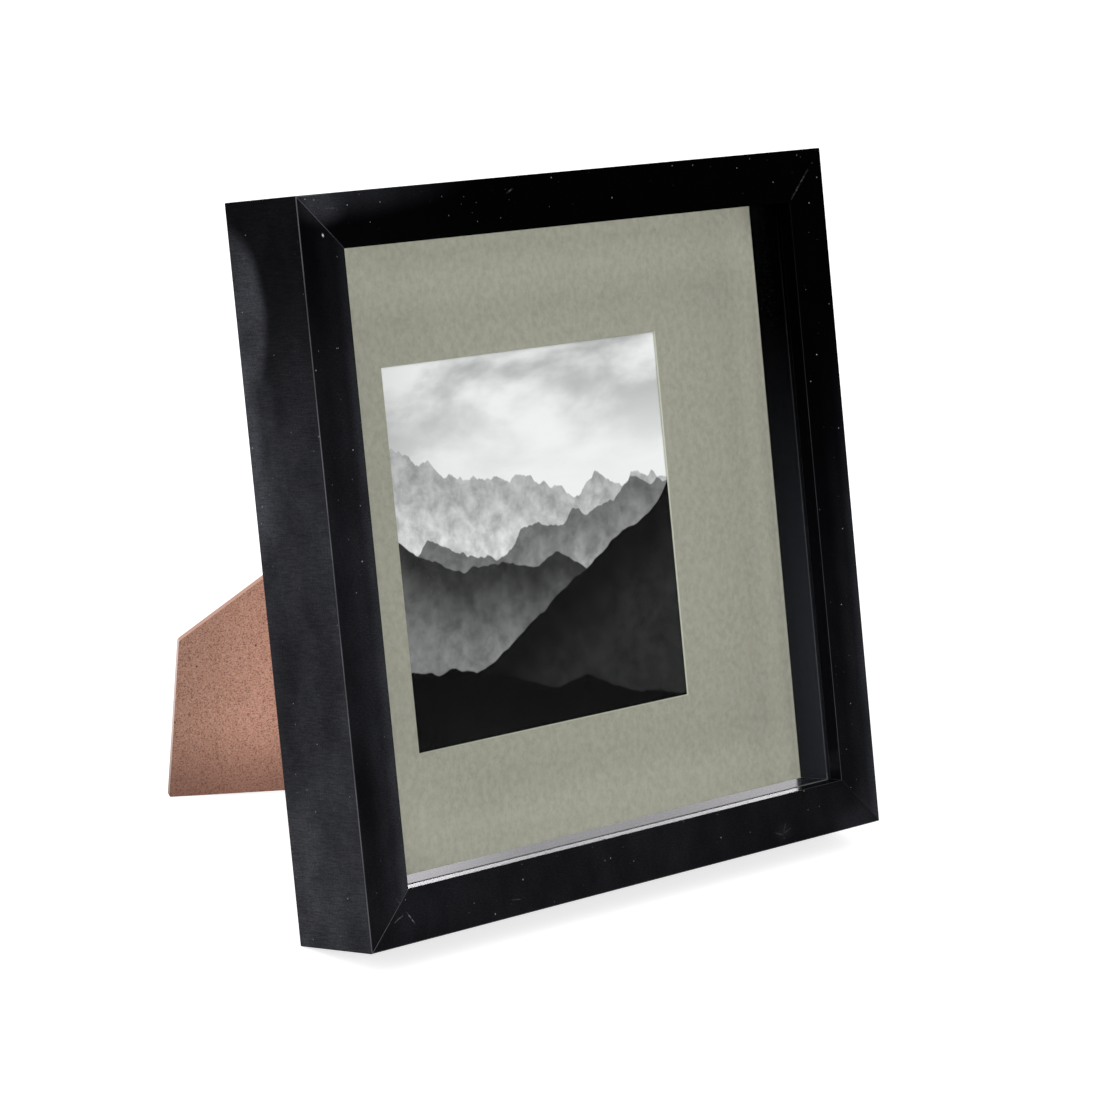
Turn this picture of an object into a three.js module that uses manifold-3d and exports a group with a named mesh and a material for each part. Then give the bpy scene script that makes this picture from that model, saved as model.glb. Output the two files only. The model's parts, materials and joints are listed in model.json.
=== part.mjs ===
// Shadow box picture frame, standing on its easel strut.
// Millimetres. The frame is modelled upright and square, then leaned back on its strut:
// +X is to the viewer's right, +Y runs from the glass to the back, +Z is up.
import * as THREE from "three";
import { mergeVertices } from "three/addons/utils/BufferGeometryUtils.js";
import Module from "manifold-3d";

const wasm = await Module();
wasm.setup();

// Glass, mount and the frame around them
const GLASS_SIDE = 254;
const GLASS_THICKNESS = 1.2;
const GLASS_ARRIS = 0.3;
const LIP_OVERLAP = 5.2;
const LIP_THICKNESS = 6.6;
const FACE_WIDTH = 21.2;
const FRAME_DEPTH = 42.4;
const REBATE_PLAY = 1.5;
const RAIL_EDGE_RADIUS = 0.6;

// Clearances
const SEAT_GAP = 0.3;
const SLOT_GAP = 0.25;
const RUNNING_GAP = 0.15;

// The spacer that holds the mount back from the glass, and the stack behind it
const SPACER_DEPTH = 15.4;
const SPACER_CHAMFER = 0.3;
const MOUNT_THICKNESS = 0.6;
const APERTURE_WIDTH = 148.5;
const APERTURE_HEIGHT = 150.5;
const APERTURE_SHIFT = -14.5;
const APERTURE_DROP = 0.9;
const WINDOW_BEVEL = 0.35;
const PRINT_MARGIN = 3;
const PRINT_THICKNESS = 0.3;
const CARD_THICKNESS = 2.6;
const PANEL_THICKNESS = 3;

// V-shaped steel nails driven across the mitres from behind
const NAIL_LEG = 4.8;
const NAIL_THICKNESS = 0.6;
const NAIL_HEIGHT = 7.5;
const NAIL_SETS = { outer: 2.4, inner: 8.4 };

// Turn tabs on the panel, with their tips in a saw kerf round the rebate
const TAB_THICKNESS = 1;
const TAB_WIDTH = 9;
const TAB_INSET = 10;
const TAB_TAIL = 12;
const TAB_LIFT = 3;
const KERF_DEPTH = 4;
const KERF_CLEARANCE = 0.5;
const TAB_NEAR = -25;
const TAB_FAR = 85;
const TAB_SPREAD = 70;

// Rivets
const RIVET_RADIUS = 1.5;
const RIVET_HEAD_RADIUS = 3;
const RIVET_HEAD_HEIGHT = 1;
const RIVET_FLARE_RADIUS = 2.4;
const RIVET_FLARE = 0.5;
const RIVET_SIDES = 14;

// Easel strut: a tapered board hinged on the panel's diagonal
const STRUT_REACH = 273.4;
const STRUT_THICKNESS = 2.6;
const STRUT_TOP_WIDTH = 49;
const STRUT_FOOT_EDGE = 71.8;
const STRUT_FOOT_ANGLE = THREE.MathUtils.degToRad(92);
const STRUT_CORNER_RADIUS = 0.8;
const STRUT_TIP_PLAY = 2.5;
const STRUT_TOP_PLAY = 1;
const STRUT_OPENING = THREE.MathUtils.degToRad(31.2);

// Strut hinge, rolled from sheet steel
const LEAF_THICKNESS = 0.8;
const LEAF_WIDTH = 36;
const LEAF_LENGTH = 15;
const LEAF_CORNER_RADIUS = 2;
const PIN_RADIUS = 1.2;
const PIN_HEAD_RADIUS = 1.9;
const PIN_HEAD = 0.8;
const MIDDLE_KNUCKLE = 14;
const HEEL_REACH = 8;
const LEAF_RIVET_SPREAD = 11.5;
const KNUCKLE_SIDES = 24;

// Saw-tooth hangers on the panel
const HANGER_LENGTH = 44;
const HANGER_WIDTH = 9;
const HANGER_THICKNESS = 0.8;
const HANGER_STANDOFF = 1.8;
const HANGER_PAD = 8;
const HANGER_RAMP = 3;
const HANGER_TEETH = 8;
const HANGER_TOOTH_DEPTH = 1.8;
const HANGER_INSET = 26;
const HANGER_CORNER_RADIUS = 1.2;

// Worked out from the sizes above
const OUTER_SIDE = GLASS_SIDE - 2 * LIP_OVERLAP + 2 * FACE_WIDTH;
const HALF = OUTER_SIDE / 2;
const REBATE_HALF = GLASS_SIDE / 2 + REBATE_PLAY;
const WALL = HALF - REBATE_HALF;
const GLASS_FRONT = LIP_THICKNESS + SEAT_GAP;
const SPACER_FRONT = GLASS_FRONT + GLASS_THICKNESS + SEAT_GAP;
const MOUNT_FRONT = SPACER_FRONT + SPACER_DEPTH + SEAT_GAP;
const PRINT_FRONT = MOUNT_FRONT + MOUNT_THICKNESS + SEAT_GAP;
const CARD_FRONT = PRINT_FRONT + PRINT_THICKNESS + SEAT_GAP;
const PANEL_FRONT = CARD_FRONT + CARD_THICKNESS + SEAT_GAP;
const PANEL_REAR = PANEL_FRONT + PANEL_THICKNESS;
const TAB_FRONT = PANEL_REAR + SEAT_GAP;
const TAB_PIVOT = REBATE_HALF - TAB_INSET;
const TAB_TIP = TAB_INSET + KERF_DEPTH - KERF_CLEARANCE;
const NAIL_REAR = FRAME_DEPTH - SLOT_GAP;
const KNUCKLE_BORE = PIN_RADIUS + RUNNING_GAP;
const KNUCKLE_RADIUS = KNUCKLE_BORE + LEAF_THICKNESS;
const PIN_DEPTH = PANEL_REAR + SEAT_GAP + KNUCKLE_RADIUS;
const LEAF_START = KNUCKLE_RADIUS + SEAT_GAP;
const LEAF_END = LEAF_START + LEAF_LENGTH;
const LEAF_RIVET_REACH = LEAF_START + LEAF_LENGTH / 2;
const HINGE_UP_DIAGONAL = STRUT_REACH - (REBATE_HALF - STRUT_TIP_PLAY) * Math.SQRT2;
const STRUT_REAR = KNUCKLE_BORE - SEAT_GAP;

// Materials
const finish = (color, roughness, metalness = 0) => new THREE.MeshStandardMaterial({ color, roughness, metalness });
const BLACK_FOIL = finish(0x141519, 0.38);
const SPACER_FOIL = finish(0x1f2125, 0.3);
const PANE = new THREE.MeshStandardMaterial({ color: 0xf2f6f5, roughness: 0.05, opacity: 0.25, transparent: true });
const SAGE_BOARD = finish(0x9a9d8a, 0.95);
const PHOTO_PAPER = finish(0x6e6e70, 0.4);
const GREY_BOARD = finish(0xa39d92, 0.95);
const HARDBOARD = finish(0xaa7869, 0.8);
const ZINC_STEEL = finish(0xb9bcbd, 0.35, 0.9);
const NAIL_STEEL = finish(0x8b8e90, 0.45, 0.9);

// Solids

function solidOf(geometry) {
  const bare = geometry.clone();
  bare.deleteAttribute("normal");
  bare.deleteAttribute("uv");
  const merged = mergeVertices(bare, 1e-4);
  const index = merged.index.array;
  const triangles = [];
  for (let i = 0; i < index.length; i += 3) {
    const [a, b, c] = [index[i], index[i + 1], index[i + 2]];
    if (a !== b && b !== c && c !== a) triangles.push(a, b, c);
  }
  const vertProperties = new Float32Array(merged.attributes.position.array);
  return new wasm.Manifold(new wasm.Mesh({ numProp: 3, vertProperties, triVerts: new Uint32Array(triangles) }));
}

function geometryOf(solid) {
  const { vertProperties, triVerts } = solid.getMesh();
  const geometry = new THREE.BufferGeometry();
  geometry.setAttribute("position", new THREE.BufferAttribute(new Float32Array(vertProperties), 3));
  geometry.setIndex(new THREE.BufferAttribute(new Uint32Array(triVerts), 1));
  return geometry;
}

function cut(geometry, cutters) {
  return geometryOf(cutters.reduce((solid, cutter) => solid.subtract(solidOf(cutter)), solidOf(geometry)));
}

function join(geometries) {
  return geometryOf(geometries.map(solidOf).reduce((whole, solid) => whole.add(solid)));
}

function part(name, geometry, material) {
  const mesh = new THREE.Mesh(geometry, material);
  mesh.name = name;
  return mesh;
}

// Outlines

function polygon(points, radius = 0) {
  const shape = new THREE.Shape();
  const corners = points.map(([x, y]) => new THREE.Vector2(x, y));
  corners.forEach((corner, i) => {
    const before = corners.at(i - 1);
    const after = corners[(i + 1) % corners.length];
    const start = corner.clone().add(before.clone().sub(corner).setLength(radius));
    const end = corner.clone().add(after.clone().sub(corner).setLength(radius));
    if (i === 0) shape.moveTo(start.x, start.y);
    else shape.lineTo(start.x, start.y);
    if (radius > 0) shape.quadraticCurveTo(corner.x, corner.y, end.x, end.y);
  });
  shape.closePath();
  return shape;
}

function rectangle(width, height, radius = 0) {
  const [x, y] = [width / 2, height / 2];
  return polygon([[-x, -y], [x, -y], [x, y], [-x, y]], radius);
}

// A plate drawn in x and z, lying from front towards the back
function plate(shape, front, thickness, curveSegments = 3) {
  const geometry = new THREE.ExtrudeGeometry(shape, { depth: thickness, bevelEnabled: false, curveSegments });
  return geometry.rotateX(Math.PI / 2).translate(0, front + thickness, 0);
}

// A section drawn in y and z, swept along x and centred on it
function sweepAcross(section, width, curveSegments = 3) {
  const geometry = new THREE.ExtrudeGeometry(section, { depth: width, bevelEnabled: false, curveSegments });
  return geometry.rotateY(Math.PI / 2).rotateX(Math.PI / 2).translate(-width / 2, 0, 0);
}

// A turned piece on the y axis
function turned(points, sides = RIVET_SIDES) {
  return new THREE.LatheGeometry(points.map(([r, y]) => new THREE.Vector2(r, y)), sides);
}

// Rivets and the bores they sit in, along y from the flared end to the domed head

function rivet(front, headSeat) {
  const dome = [60, 30].map((degrees) => {
    const angle = THREE.MathUtils.degToRad(degrees);
    return [RIVET_HEAD_RADIUS * Math.sin(angle), headSeat + RIVET_HEAD_HEIGHT * (0.4 + 0.6 * Math.cos(angle))];
  });
  return turned([
    [0, front],
    [RIVET_FLARE_RADIUS, front],
    [RIVET_FLARE_RADIUS, front + RIVET_FLARE],
    [RIVET_RADIUS, front + RIVET_FLARE],
    [RIVET_RADIUS, headSeat],
    [RIVET_HEAD_RADIUS, headSeat],
    [RIVET_HEAD_RADIUS, headSeat + RIVET_HEAD_HEIGHT * 0.4],
    ...dome,
    [0, headSeat + RIVET_HEAD_HEIGHT],
  ]);
}

function shankBore(front, rear) {
  const radius = RIVET_RADIUS + RUNNING_GAP;
  return turned([[0, front - 1], [radius, front - 1], [radius, rear + 1], [0, rear + 1]]);
}

function rivetBore(front, rear) {
  const step = front + RIVET_FLARE + 2 * SLOT_GAP;
  return turned([
    [0, front - 1],
    [RIVET_FLARE_RADIUS + SLOT_GAP, front - 1],
    [RIVET_FLARE_RADIUS + SLOT_GAP, step],
    [RIVET_RADIUS + RUNNING_GAP, step],
    [RIVET_RADIUS + RUNNING_GAP, rear + 1],
    [0, rear + 1],
  ]);
}

// Rails and spacers: a section in depth and distance in from the outside, mitred at both ends

function mitredStrip(section) {
  const shape = polygon(section.points, section.radius);
  const geometry = new THREE.ExtrudeGeometry(shape, { depth: 1, bevelEnabled: false, curveSegments: 3 });
  const position = geometry.attributes.position;
  for (let i = 0; i < position.count; i += 1) {
    const [depth, inward, end] = [position.getX(i), position.getY(i), position.getZ(i)];
    const reach = HALF - inward - SEAT_GAP / Math.SQRT2;
    position.setXYZ(i, (2 * end - 1) * reach, depth, inward - HALF);
  }
  return geometry;
}

function nailOutline(set, grow) {
  const [low, inside, end] = [set - grow, set + NAIL_THICKNESS + grow, set + NAIL_LEG + grow];
  const corner = -HALF;
  const points = [[low, low], [end, low], [end, inside], [inside, inside], [inside, end], [low, end]];
  return polygon(points.map(([x, z]) => [corner + x, corner + z]));
}

function nailGeometry(set) {
  return plate(nailOutline(set, 0), NAIL_REAR - NAIL_HEIGHT, NAIL_HEIGHT);
}

function nailSlots() {
  return Object.values(NAIL_SETS).flatMap((set) => {
    const slot = plate(nailOutline(set, SLOT_GAP), NAIL_REAR - NAIL_HEIGHT - SLOT_GAP, NAIL_HEIGHT + 1);
    return [slot, slot.clone().rotateY(-Math.PI / 2)];
  });
}

function railGeometry() {
  const kerfFront = TAB_FRONT - SEAT_GAP;
  const kerfRear = TAB_FRONT + TAB_THICKNESS + SEAT_GAP;
  const edge = RAIL_EDGE_RADIUS;
  const section = {
    radius: 0,
    points: [
      [0, edge],
      [edge * 0.3, edge * 0.3],
      [edge, 0],
      [FRAME_DEPTH, 0],
      [FRAME_DEPTH, WALL],
      [kerfRear, WALL],
      [kerfRear, WALL - KERF_DEPTH],
      [kerfFront, WALL - KERF_DEPTH],
      [kerfFront, WALL],
      [LIP_THICKNESS, WALL],
      [LIP_THICKNESS, FACE_WIDTH],
      [edge, FACE_WIDTH],
      [edge * 0.3, FACE_WIDTH - edge * 0.3],
      [0, FACE_WIDTH - edge],
    ],
  };
  return cut(mitredStrip(section), nailSlots());
}

function spacerGeometry() {
  const [front, rear] = [SPACER_FRONT, SPACER_FRONT + SPACER_DEPTH];
  const [outside, inside] = [WALL + SEAT_GAP, FACE_WIDTH];
  const chamfer = SPACER_CHAMFER;
  const section = {
    radius: 0,
    points: [
      [front, outside],
      [rear, outside],
      [rear, inside],
      [front + chamfer, inside],
      [front, inside - chamfer],
    ],
  };
  return mitredStrip(section);
}

// Each side of the frame is the bottom one turned a quarter turn on
const SIDES = ["bottom", "left", "top", "right"];
const CORNERS = ["bottom_left", "top_left", "top_right", "bottom_right"];
const quarterTurn = (mesh, turns) => {
  mesh.rotation.y = turns * Math.PI / 2;
  return mesh;
};

function makeRails() {
  const geometry = railGeometry();
  return SIDES.map((side, i) => quarterTurn(part(`rail_${side}`, geometry, BLACK_FOIL), i));
}

function makeCornerNails() {
  return Object.entries(NAIL_SETS).flatMap(([place, set]) => {
    const geometry = nailGeometry(set);
    return CORNERS.map((corner, i) => quarterTurn(part(`corner_nail_${corner}_${place}`, geometry, NAIL_STEEL), i));
  });
}

function makeSpacers() {
  const geometry = spacerGeometry();
  return SIDES.map((side, i) => quarterTurn(part(`spacer_${side}`, geometry, SPACER_FOIL), i));
}

// The stack behind the lip

function makeGlass() {
  const side = GLASS_SIDE - 2 * GLASS_ARRIS;
  const geometry = new THREE.ExtrudeGeometry(rectangle(side, side), {
    depth: GLASS_THICKNESS - 2 * GLASS_ARRIS,
    bevelThickness: GLASS_ARRIS,
    bevelSize: GLASS_ARRIS,
    bevelSegments: 1,
  });
  geometry.rotateX(Math.PI / 2).translate(0, GLASS_FRONT + GLASS_THICKNESS - GLASS_ARRIS, 0);
  return part("glass_pane", geometry, PANE);
}

// The window is cut at a slant, so it opens towards the viewer by its bevel on each side
function makeMount() {
  const overshoot = MOUNT_THICKNESS / 2;
  const cutter = new THREE.ExtrudeGeometry(rectangle(APERTURE_WIDTH, APERTURE_HEIGHT), {
    depth: overshoot,
    bevelThickness: 2 * MOUNT_THICKNESS,
    bevelSize: 2 * WINDOW_BEVEL,
    bevelOffset: -WINDOW_BEVEL / 2,
    bevelSegments: 1,
  });
  cutter.rotateX(Math.PI / 2).translate(APERTURE_SHIFT, MOUNT_FRONT - overshoot, -APERTURE_DROP);
  const board = plate(rectangle(GLASS_SIDE, GLASS_SIDE), MOUNT_FRONT, MOUNT_THICKNESS);
  return part("window_mount", cut(board, [cutter]), SAGE_BOARD);
}

function makePrint() {
  const shape = rectangle(APERTURE_WIDTH + 2 * PRINT_MARGIN, APERTURE_HEIGHT + 2 * PRINT_MARGIN);
  const mesh = part("print_sheet", plate(shape, PRINT_FRONT, PRINT_THICKNESS), PHOTO_PAPER);
  mesh.position.set(APERTURE_SHIFT, 0, -APERTURE_DROP);
  return mesh;
}

function makeBackingCard() {
  return part("backing_card", plate(rectangle(GLASS_SIDE, GLASS_SIDE), CARD_FRONT, CARD_THICKNESS), GREY_BOARD);
}

// Places on the panel, as x and z with a turn about y

const TAB_PLACES = [
  { name: "bottom_near", along: TAB_NEAR, side: 0 },
  { name: "bottom_far", along: TAB_FAR, side: 0 },
  { name: "left_near", along: -TAB_NEAR, side: 1 },
  { name: "left_far", along: -TAB_FAR, side: 1 },
  { name: "top_left", along: TAB_SPREAD, side: 2 },
  { name: "top_right", along: -TAB_SPREAD, side: 2 },
  { name: "right_upper", along: TAB_SPREAD, side: 3 },
  { name: "right_lower", along: -TAB_SPREAD, side: 3 },
].map(({ name, along, side }) => {
  const turn = side * Math.PI / 2;
  const place = new THREE.Vector3(along, 0, -TAB_PIVOT).applyAxisAngle(new THREE.Vector3(0, 1, 0), turn);
  return { name, x: place.x, z: place.z, turn };
});

const HANGER_PLACES = [
  { name: "top", x: 0, z: REBATE_HALF - HANGER_INSET, turn: 0 },
  { name: "side", x: REBATE_HALF - HANGER_INSET, z: 0, turn: Math.PI / 2 },
];

const HANGER_RIVET_REACH = (HANGER_LENGTH - HANGER_PAD) / 2;
const HANGER_RIVETS = HANGER_PLACES.flatMap(({ name, x, z, turn }) => [-1, 1].map((end) => ({
  name: `${name}_${end < 0 ? "a" : "b"}`,
  x: x + end * HANGER_RIVET_REACH * Math.cos(turn),
  z: z - end * HANGER_RIVET_REACH * Math.sin(turn),
})));

const DIAGONAL = Math.PI / 4;
const onDiagonal = (across, up) => ({
  x: (across + up) * Math.SQRT1_2,
  z: (up - across) * Math.SQRT1_2,
});
const LEAF_RIVETS = [-1, 1].map((end) => ({
  name: end < 0 ? "a" : "b",
  across: end * LEAF_RIVET_SPREAD,
}));
const PANEL_LEAF_RIVETS = LEAF_RIVETS.map(({ name, across }) => ({
  name,
  ...onDiagonal(across, HINGE_UP_DIAGONAL + LEAF_RIVET_REACH),
}));

function makePanel() {
  const bores = [...TAB_PLACES, ...HANGER_RIVETS, ...PANEL_LEAF_RIVETS].map(({ x, z }) => (
    rivetBore(PANEL_FRONT, PANEL_REAR).translate(x, 0, z)
  ));
  const board = plate(rectangle(GLASS_SIDE, GLASS_SIDE), PANEL_FRONT, PANEL_THICKNESS);
  return part("back_panel", cut(board, bores), HARDBOARD);
}

function panelRivet(name, { x, z }, seat) {
  const mesh = part(name, rivet(PANEL_FRONT + SLOT_GAP, seat), ZINC_STEEL);
  mesh.position.set(x, 0, z);
  return mesh;
}

// Turn tabs: round tip in the kerf, bent-up tail for a finger

function tabGeometry() {
  const half = TAB_WIDTH / 2;
  const outline = new THREE.Shape();
  outline.moveTo(half, TAB_TAIL - TAB_THICKNESS);
  outline.lineTo(-half, TAB_TAIL - TAB_THICKNESS);
  outline.lineTo(-half, half - TAB_TIP);
  outline.absarc(0, half - TAB_TIP, half, Math.PI, 2 * Math.PI, false);
  outline.closePath();
  const blank = plate(outline, TAB_FRONT, TAB_THICKNESS, 12);
  const [low, high] = [TAB_FRONT, TAB_FRONT + TAB_THICKNESS + TAB_LIFT];
  const bend = sweepAcross(polygon([
    [low, TAB_TAIL - 2 * TAB_THICKNESS],
    [low + TAB_THICKNESS, TAB_TAIL - 2 * TAB_THICKNESS],
    [low + TAB_THICKNESS * 1.3, TAB_TAIL - TAB_THICKNESS],
    [high, TAB_TAIL - TAB_THICKNESS],
    [high, TAB_TAIL],
    [low + TAB_THICKNESS * 0.6, TAB_TAIL],
    [low, TAB_TAIL - TAB_THICKNESS * 0.6],
  ]), TAB_WIDTH);
  return cut(join([blank, bend]), [shankBore(low, low + TAB_THICKNESS)]);
}

function makeTurnTabs() {
  const geometry = tabGeometry();
  return TAB_PLACES.flatMap((place) => {
    const tab = part(`turn_tab_${place.name}`, geometry, ZINC_STEEL);
    tab.position.set(place.x, 0, place.z);
    tab.rotation.y = place.turn;
    const pivot = panelRivet(`tab_rivet_${place.name}`, place, TAB_FRONT + TAB_THICKNESS + SEAT_GAP);
    return [tab, pivot];
  });
}

// Saw-tooth hangers: flat pads at both ends and a raised bar with a toothed lower edge

function hangerGeometry() {
  const end = HANGER_LENGTH / 2;
  const pad = end - HANGER_PAD;
  const bar = pad - HANGER_RAMP;
  const under = PANEL_REAR + SEAT_GAP;
  const half = [[end, under], [pad, under], [bar, under + HANGER_STANDOFF]];
  const lower = [...half, ...half.map(([x, y]) => [-x, y]).reverse()];
  const upper = lower.map(([x, y]) => [x, y + HANGER_THICKNESS]).reverse();
  const strip = new THREE.ExtrudeGeometry(polygon([...lower, ...upper]), { depth: HANGER_WIDTH, bevelEnabled: false });
  strip.translate(0, 0, -HANGER_WIDTH / 2);
  const pitch = 2 * bar / HANGER_TEETH;
  const notches = Array.from({ length: HANGER_TEETH - 1 }, (_, i) => {
    const middle = (i + 1) * pitch - bar;
    const tip = -HANGER_WIDTH / 2 + HANGER_TOOTH_DEPTH;
    const notch = polygon([[middle - pitch / 2, tip - 2 * HANGER_TOOTH_DEPTH], [middle + pitch / 2, tip - 2 * HANGER_TOOTH_DEPTH], [middle, tip]]);
    return plate(notch, under, HANGER_STANDOFF + 2 * HANGER_THICKNESS);
  });
  const bores = [-1, 1].map((side) => (
    shankBore(under, under + HANGER_THICKNESS).translate(side * HANGER_RIVET_REACH, 0, 0)
  ));
  const blank = plate(rectangle(HANGER_LENGTH, HANGER_WIDTH, HANGER_CORNER_RADIUS), under - 1, HANGER_STANDOFF + 3);
  return geometryOf(solidOf(cut(strip, [...notches, ...bores])).intersect(solidOf(blank)));
}

function makeHangers() {
  const geometry = hangerGeometry();
  const plates = HANGER_PLACES.map(({ name, x, z, turn }) => {
    const mesh = part(`hanger_${name}`, geometry, ZINC_STEEL);
    mesh.position.set(x, 0, z);
    mesh.rotation.y = turn;
    return mesh;
  });
  const seat = PANEL_REAR + SEAT_GAP + HANGER_THICKNESS + SEAT_GAP;
  return [...plates, ...HANGER_RIVETS.map((place) => panelRivet(`hanger_rivet_${place.name}`, place, seat))];
}

// The hinge and strut have their origin on the pin, with z up the diagonal and the strut along -z when folded

function knuckle(width) {
  const ring = new THREE.Shape().absarc(0, 0, KNUCKLE_RADIUS, 0, 2 * Math.PI, false);
  ring.holes.push(new THREE.Path().absarc(0, 0, KNUCKLE_BORE, 0, 2 * Math.PI, true));
  return sweepAcross(ring, width, KNUCKLE_SIDES / 2);
}

function leafBores(up, front) {
  return LEAF_RIVETS.map(({ across }) => shankBore(front, front + LEAF_THICKNESS).translate(across, 0, up));
}

function makePanelLeaf() {
  const [edge, neck] = [LEAF_WIDTH / 2, MIDDLE_KNUCKLE / 2 + SEAT_GAP];
  const front = -KNUCKLE_RADIUS;
  const blank = plate(rectangle(LEAF_WIDTH, LEAF_LENGTH, LEAF_CORNER_RADIUS), front, LEAF_THICKNESS);
  blank.translate(0, 0, LEAF_START + LEAF_LENGTH / 2);
  const sides = [-1, 1].flatMap((side) => {
    const width = edge - neck;
    const middle = side * (edge + neck) / 2;
    const tongue = plate(rectangle(width, LEAF_END - LEAF_LENGTH / 2), front, LEAF_THICKNESS);
    tongue.translate(middle, 0, (LEAF_END - LEAF_LENGTH / 2) / 2);
    return [tongue, knuckle(width).translate(middle, 0, 0)];
  });
  return part("hinge_leaf_panel", cut(join([blank, ...sides]), leafBores(LEAF_RIVET_REACH, front)), ZINC_STEEL);
}

// The heel stands on the panel leaf when the strut is open, and so stops it there
function makeStrutLeaf() {
  const front = KNUCKLE_BORE;
  const blank = plate(rectangle(LEAF_WIDTH, LEAF_LENGTH, LEAF_CORNER_RADIUS), front, LEAF_THICKNESS);
  blank.translate(0, 0, -LEAF_START - LEAF_LENGTH / 2);
  const neckLength = LEAF_START + LEAF_LENGTH / 2;
  const neck = plate(rectangle(MIDDLE_KNUCKLE, neckLength), front, LEAF_THICKNESS).translate(0, 0, -neckLength / 2);
  const heelFront = -KNUCKLE_BORE + SEAT_GAP;
  const heelStart = (KNUCKLE_BORE + KNUCKLE_RADIUS) / 2;
  const heel = plate(rectangle(MIDDLE_KNUCKLE, HEEL_REACH - heelStart), heelFront, LEAF_THICKNESS);
  heel.translate(0, 0, (HEEL_REACH + heelStart) / 2).rotateX(-STRUT_OPENING);
  const leaf = join([blank, neck, knuckle(MIDDLE_KNUCKLE), heel]);
  return part("hinge_leaf_strut", cut(leaf, leafBores(-LEAF_RIVET_REACH, front)), ZINC_STEEL);
}

function makePin() {
  const [half, head] = [LEAF_WIDTH / 2 + SEAT_GAP, PIN_HEAD];
  const geometry = turned([
    [0, -half - head],
    [PIN_HEAD_RADIUS * 0.7, -half - head],
    [PIN_HEAD_RADIUS, -half - head / 2],
    [PIN_HEAD_RADIUS, -half],
    [PIN_RADIUS, -half],
    [PIN_RADIUS, half],
    [PIN_HEAD_RADIUS, half],
    [PIN_HEAD_RADIUS, half + head / 2],
    [PIN_HEAD_RADIUS * 0.7, half + head],
    [0, half + head],
  ], KNUCKLE_SIDES).rotateZ(Math.PI / 2);
  return part("hinge_pin", geometry, ZINC_STEEL);
}

function makeStrutBoard() {
  const top = -(LEAF_START + STRUT_TOP_PLAY);
  const half = STRUT_FOOT_ANGLE / 2;
  const [wide, shoulder] = [STRUT_FOOT_EDGE * Math.sin(half), STRUT_FOOT_EDGE * Math.cos(half) - STRUT_REACH];
  const narrow = STRUT_TOP_WIDTH / 2;
  const outline = polygon([[0, -STRUT_REACH], [wide, shoulder], [narrow, top], [-narrow, top], [-wide, shoulder]], STRUT_CORNER_RADIUS);
  const front = STRUT_REAR - STRUT_THICKNESS;
  const bores = LEAF_RIVETS.map(({ across }) => (
    rivetBore(front, STRUT_REAR).translate(across, 0, -LEAF_RIVET_REACH)
  ));
  return part("strut_board", cut(plate(outline, front, STRUT_THICKNESS), bores), HARDBOARD);
}

function makeStrutRivets() {
  const front = STRUT_REAR - STRUT_THICKNESS + SLOT_GAP;
  const seat = KNUCKLE_RADIUS + SEAT_GAP;
  return LEAF_RIVETS.map(({ name, across }) => {
    const mesh = part(`hinge_rivet_strut_${name}`, rivet(front, seat), ZINC_STEEL);
    mesh.position.set(across, 0, -LEAF_RIVET_REACH);
    return mesh;
  });
}

function makeHinge() {
  const strut = new THREE.Group().add(makeStrutBoard(), makeStrutLeaf(), ...makeStrutRivets());
  strut.rotation.x = STRUT_OPENING;
  const hinge = new THREE.Group().add(makePanelLeaf(), makePin(), strut);
  const { x, z } = onDiagonal(0, HINGE_UP_DIAGONAL);
  hinge.position.set(x, PIN_DEPTH, z);
  hinge.rotation.y = DIAGONAL;
  return hinge;
}

function makePanelLeafRivets() {
  const seat = PANEL_REAR + SEAT_GAP + LEAF_THICKNESS + SEAT_GAP;
  return PANEL_LEAF_RIVETS.map((place) => panelRivet(`hinge_rivet_panel_${place.name}`, place, seat));
}

// The lean at which the strut's lowest corner is level with the bottom rail's rear edge
function leanOf(frame) {
  frame.updateMatrixWorld(true);
  const board = frame.getObjectByName("strut_board");
  const position = board.geometry.attributes.position;
  const corner = new THREE.Vector3();
  let lean = Math.PI / 2;
  for (let i = 0; i < position.count; i += 1) {
    corner.fromBufferAttribute(position, i).applyMatrix4(board.matrixWorld);
    if (corner.y > FRAME_DEPTH) lean = Math.min(lean, Math.atan2(corner.z + HALF, corner.y - FRAME_DEPTH));
  }
  return lean;
}

function makeFrame() {
  const frame = new THREE.Group();
  frame.add(
    ...makeRails(),
    ...makeCornerNails(),
    makeGlass(),
    ...makeSpacers(),
    makeMount(),
    makePrint(),
    makeBackingCard(),
    makePanel(),
    ...makeTurnTabs(),
    ...makeHangers(),
    makeHinge(),
    ...makePanelLeafRivets(),
  );
  return frame;
}

// Lean the frame back, and stand it with the middle of its box over the origin
function stand(frame) {
  frame.rotation.x = -leanOf(frame);
  const standing = new THREE.Group().add(frame);
  standing.updateMatrixWorld(true);
  const box = new THREE.Box3().setFromObject(standing, true);
  frame.position.set(-(box.min.x + box.max.x) / 2, -(box.min.y + box.max.y) / 2, -box.min.z);
  return standing;
}

export default stand(makeFrame());
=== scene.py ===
"""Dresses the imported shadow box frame: foil-wrapped rails, glass, mount, picture, hardboard and fittings."""

import json
import math

import bmesh
import bpy
from mathutils import Euler, Matrix, Vector


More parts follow.
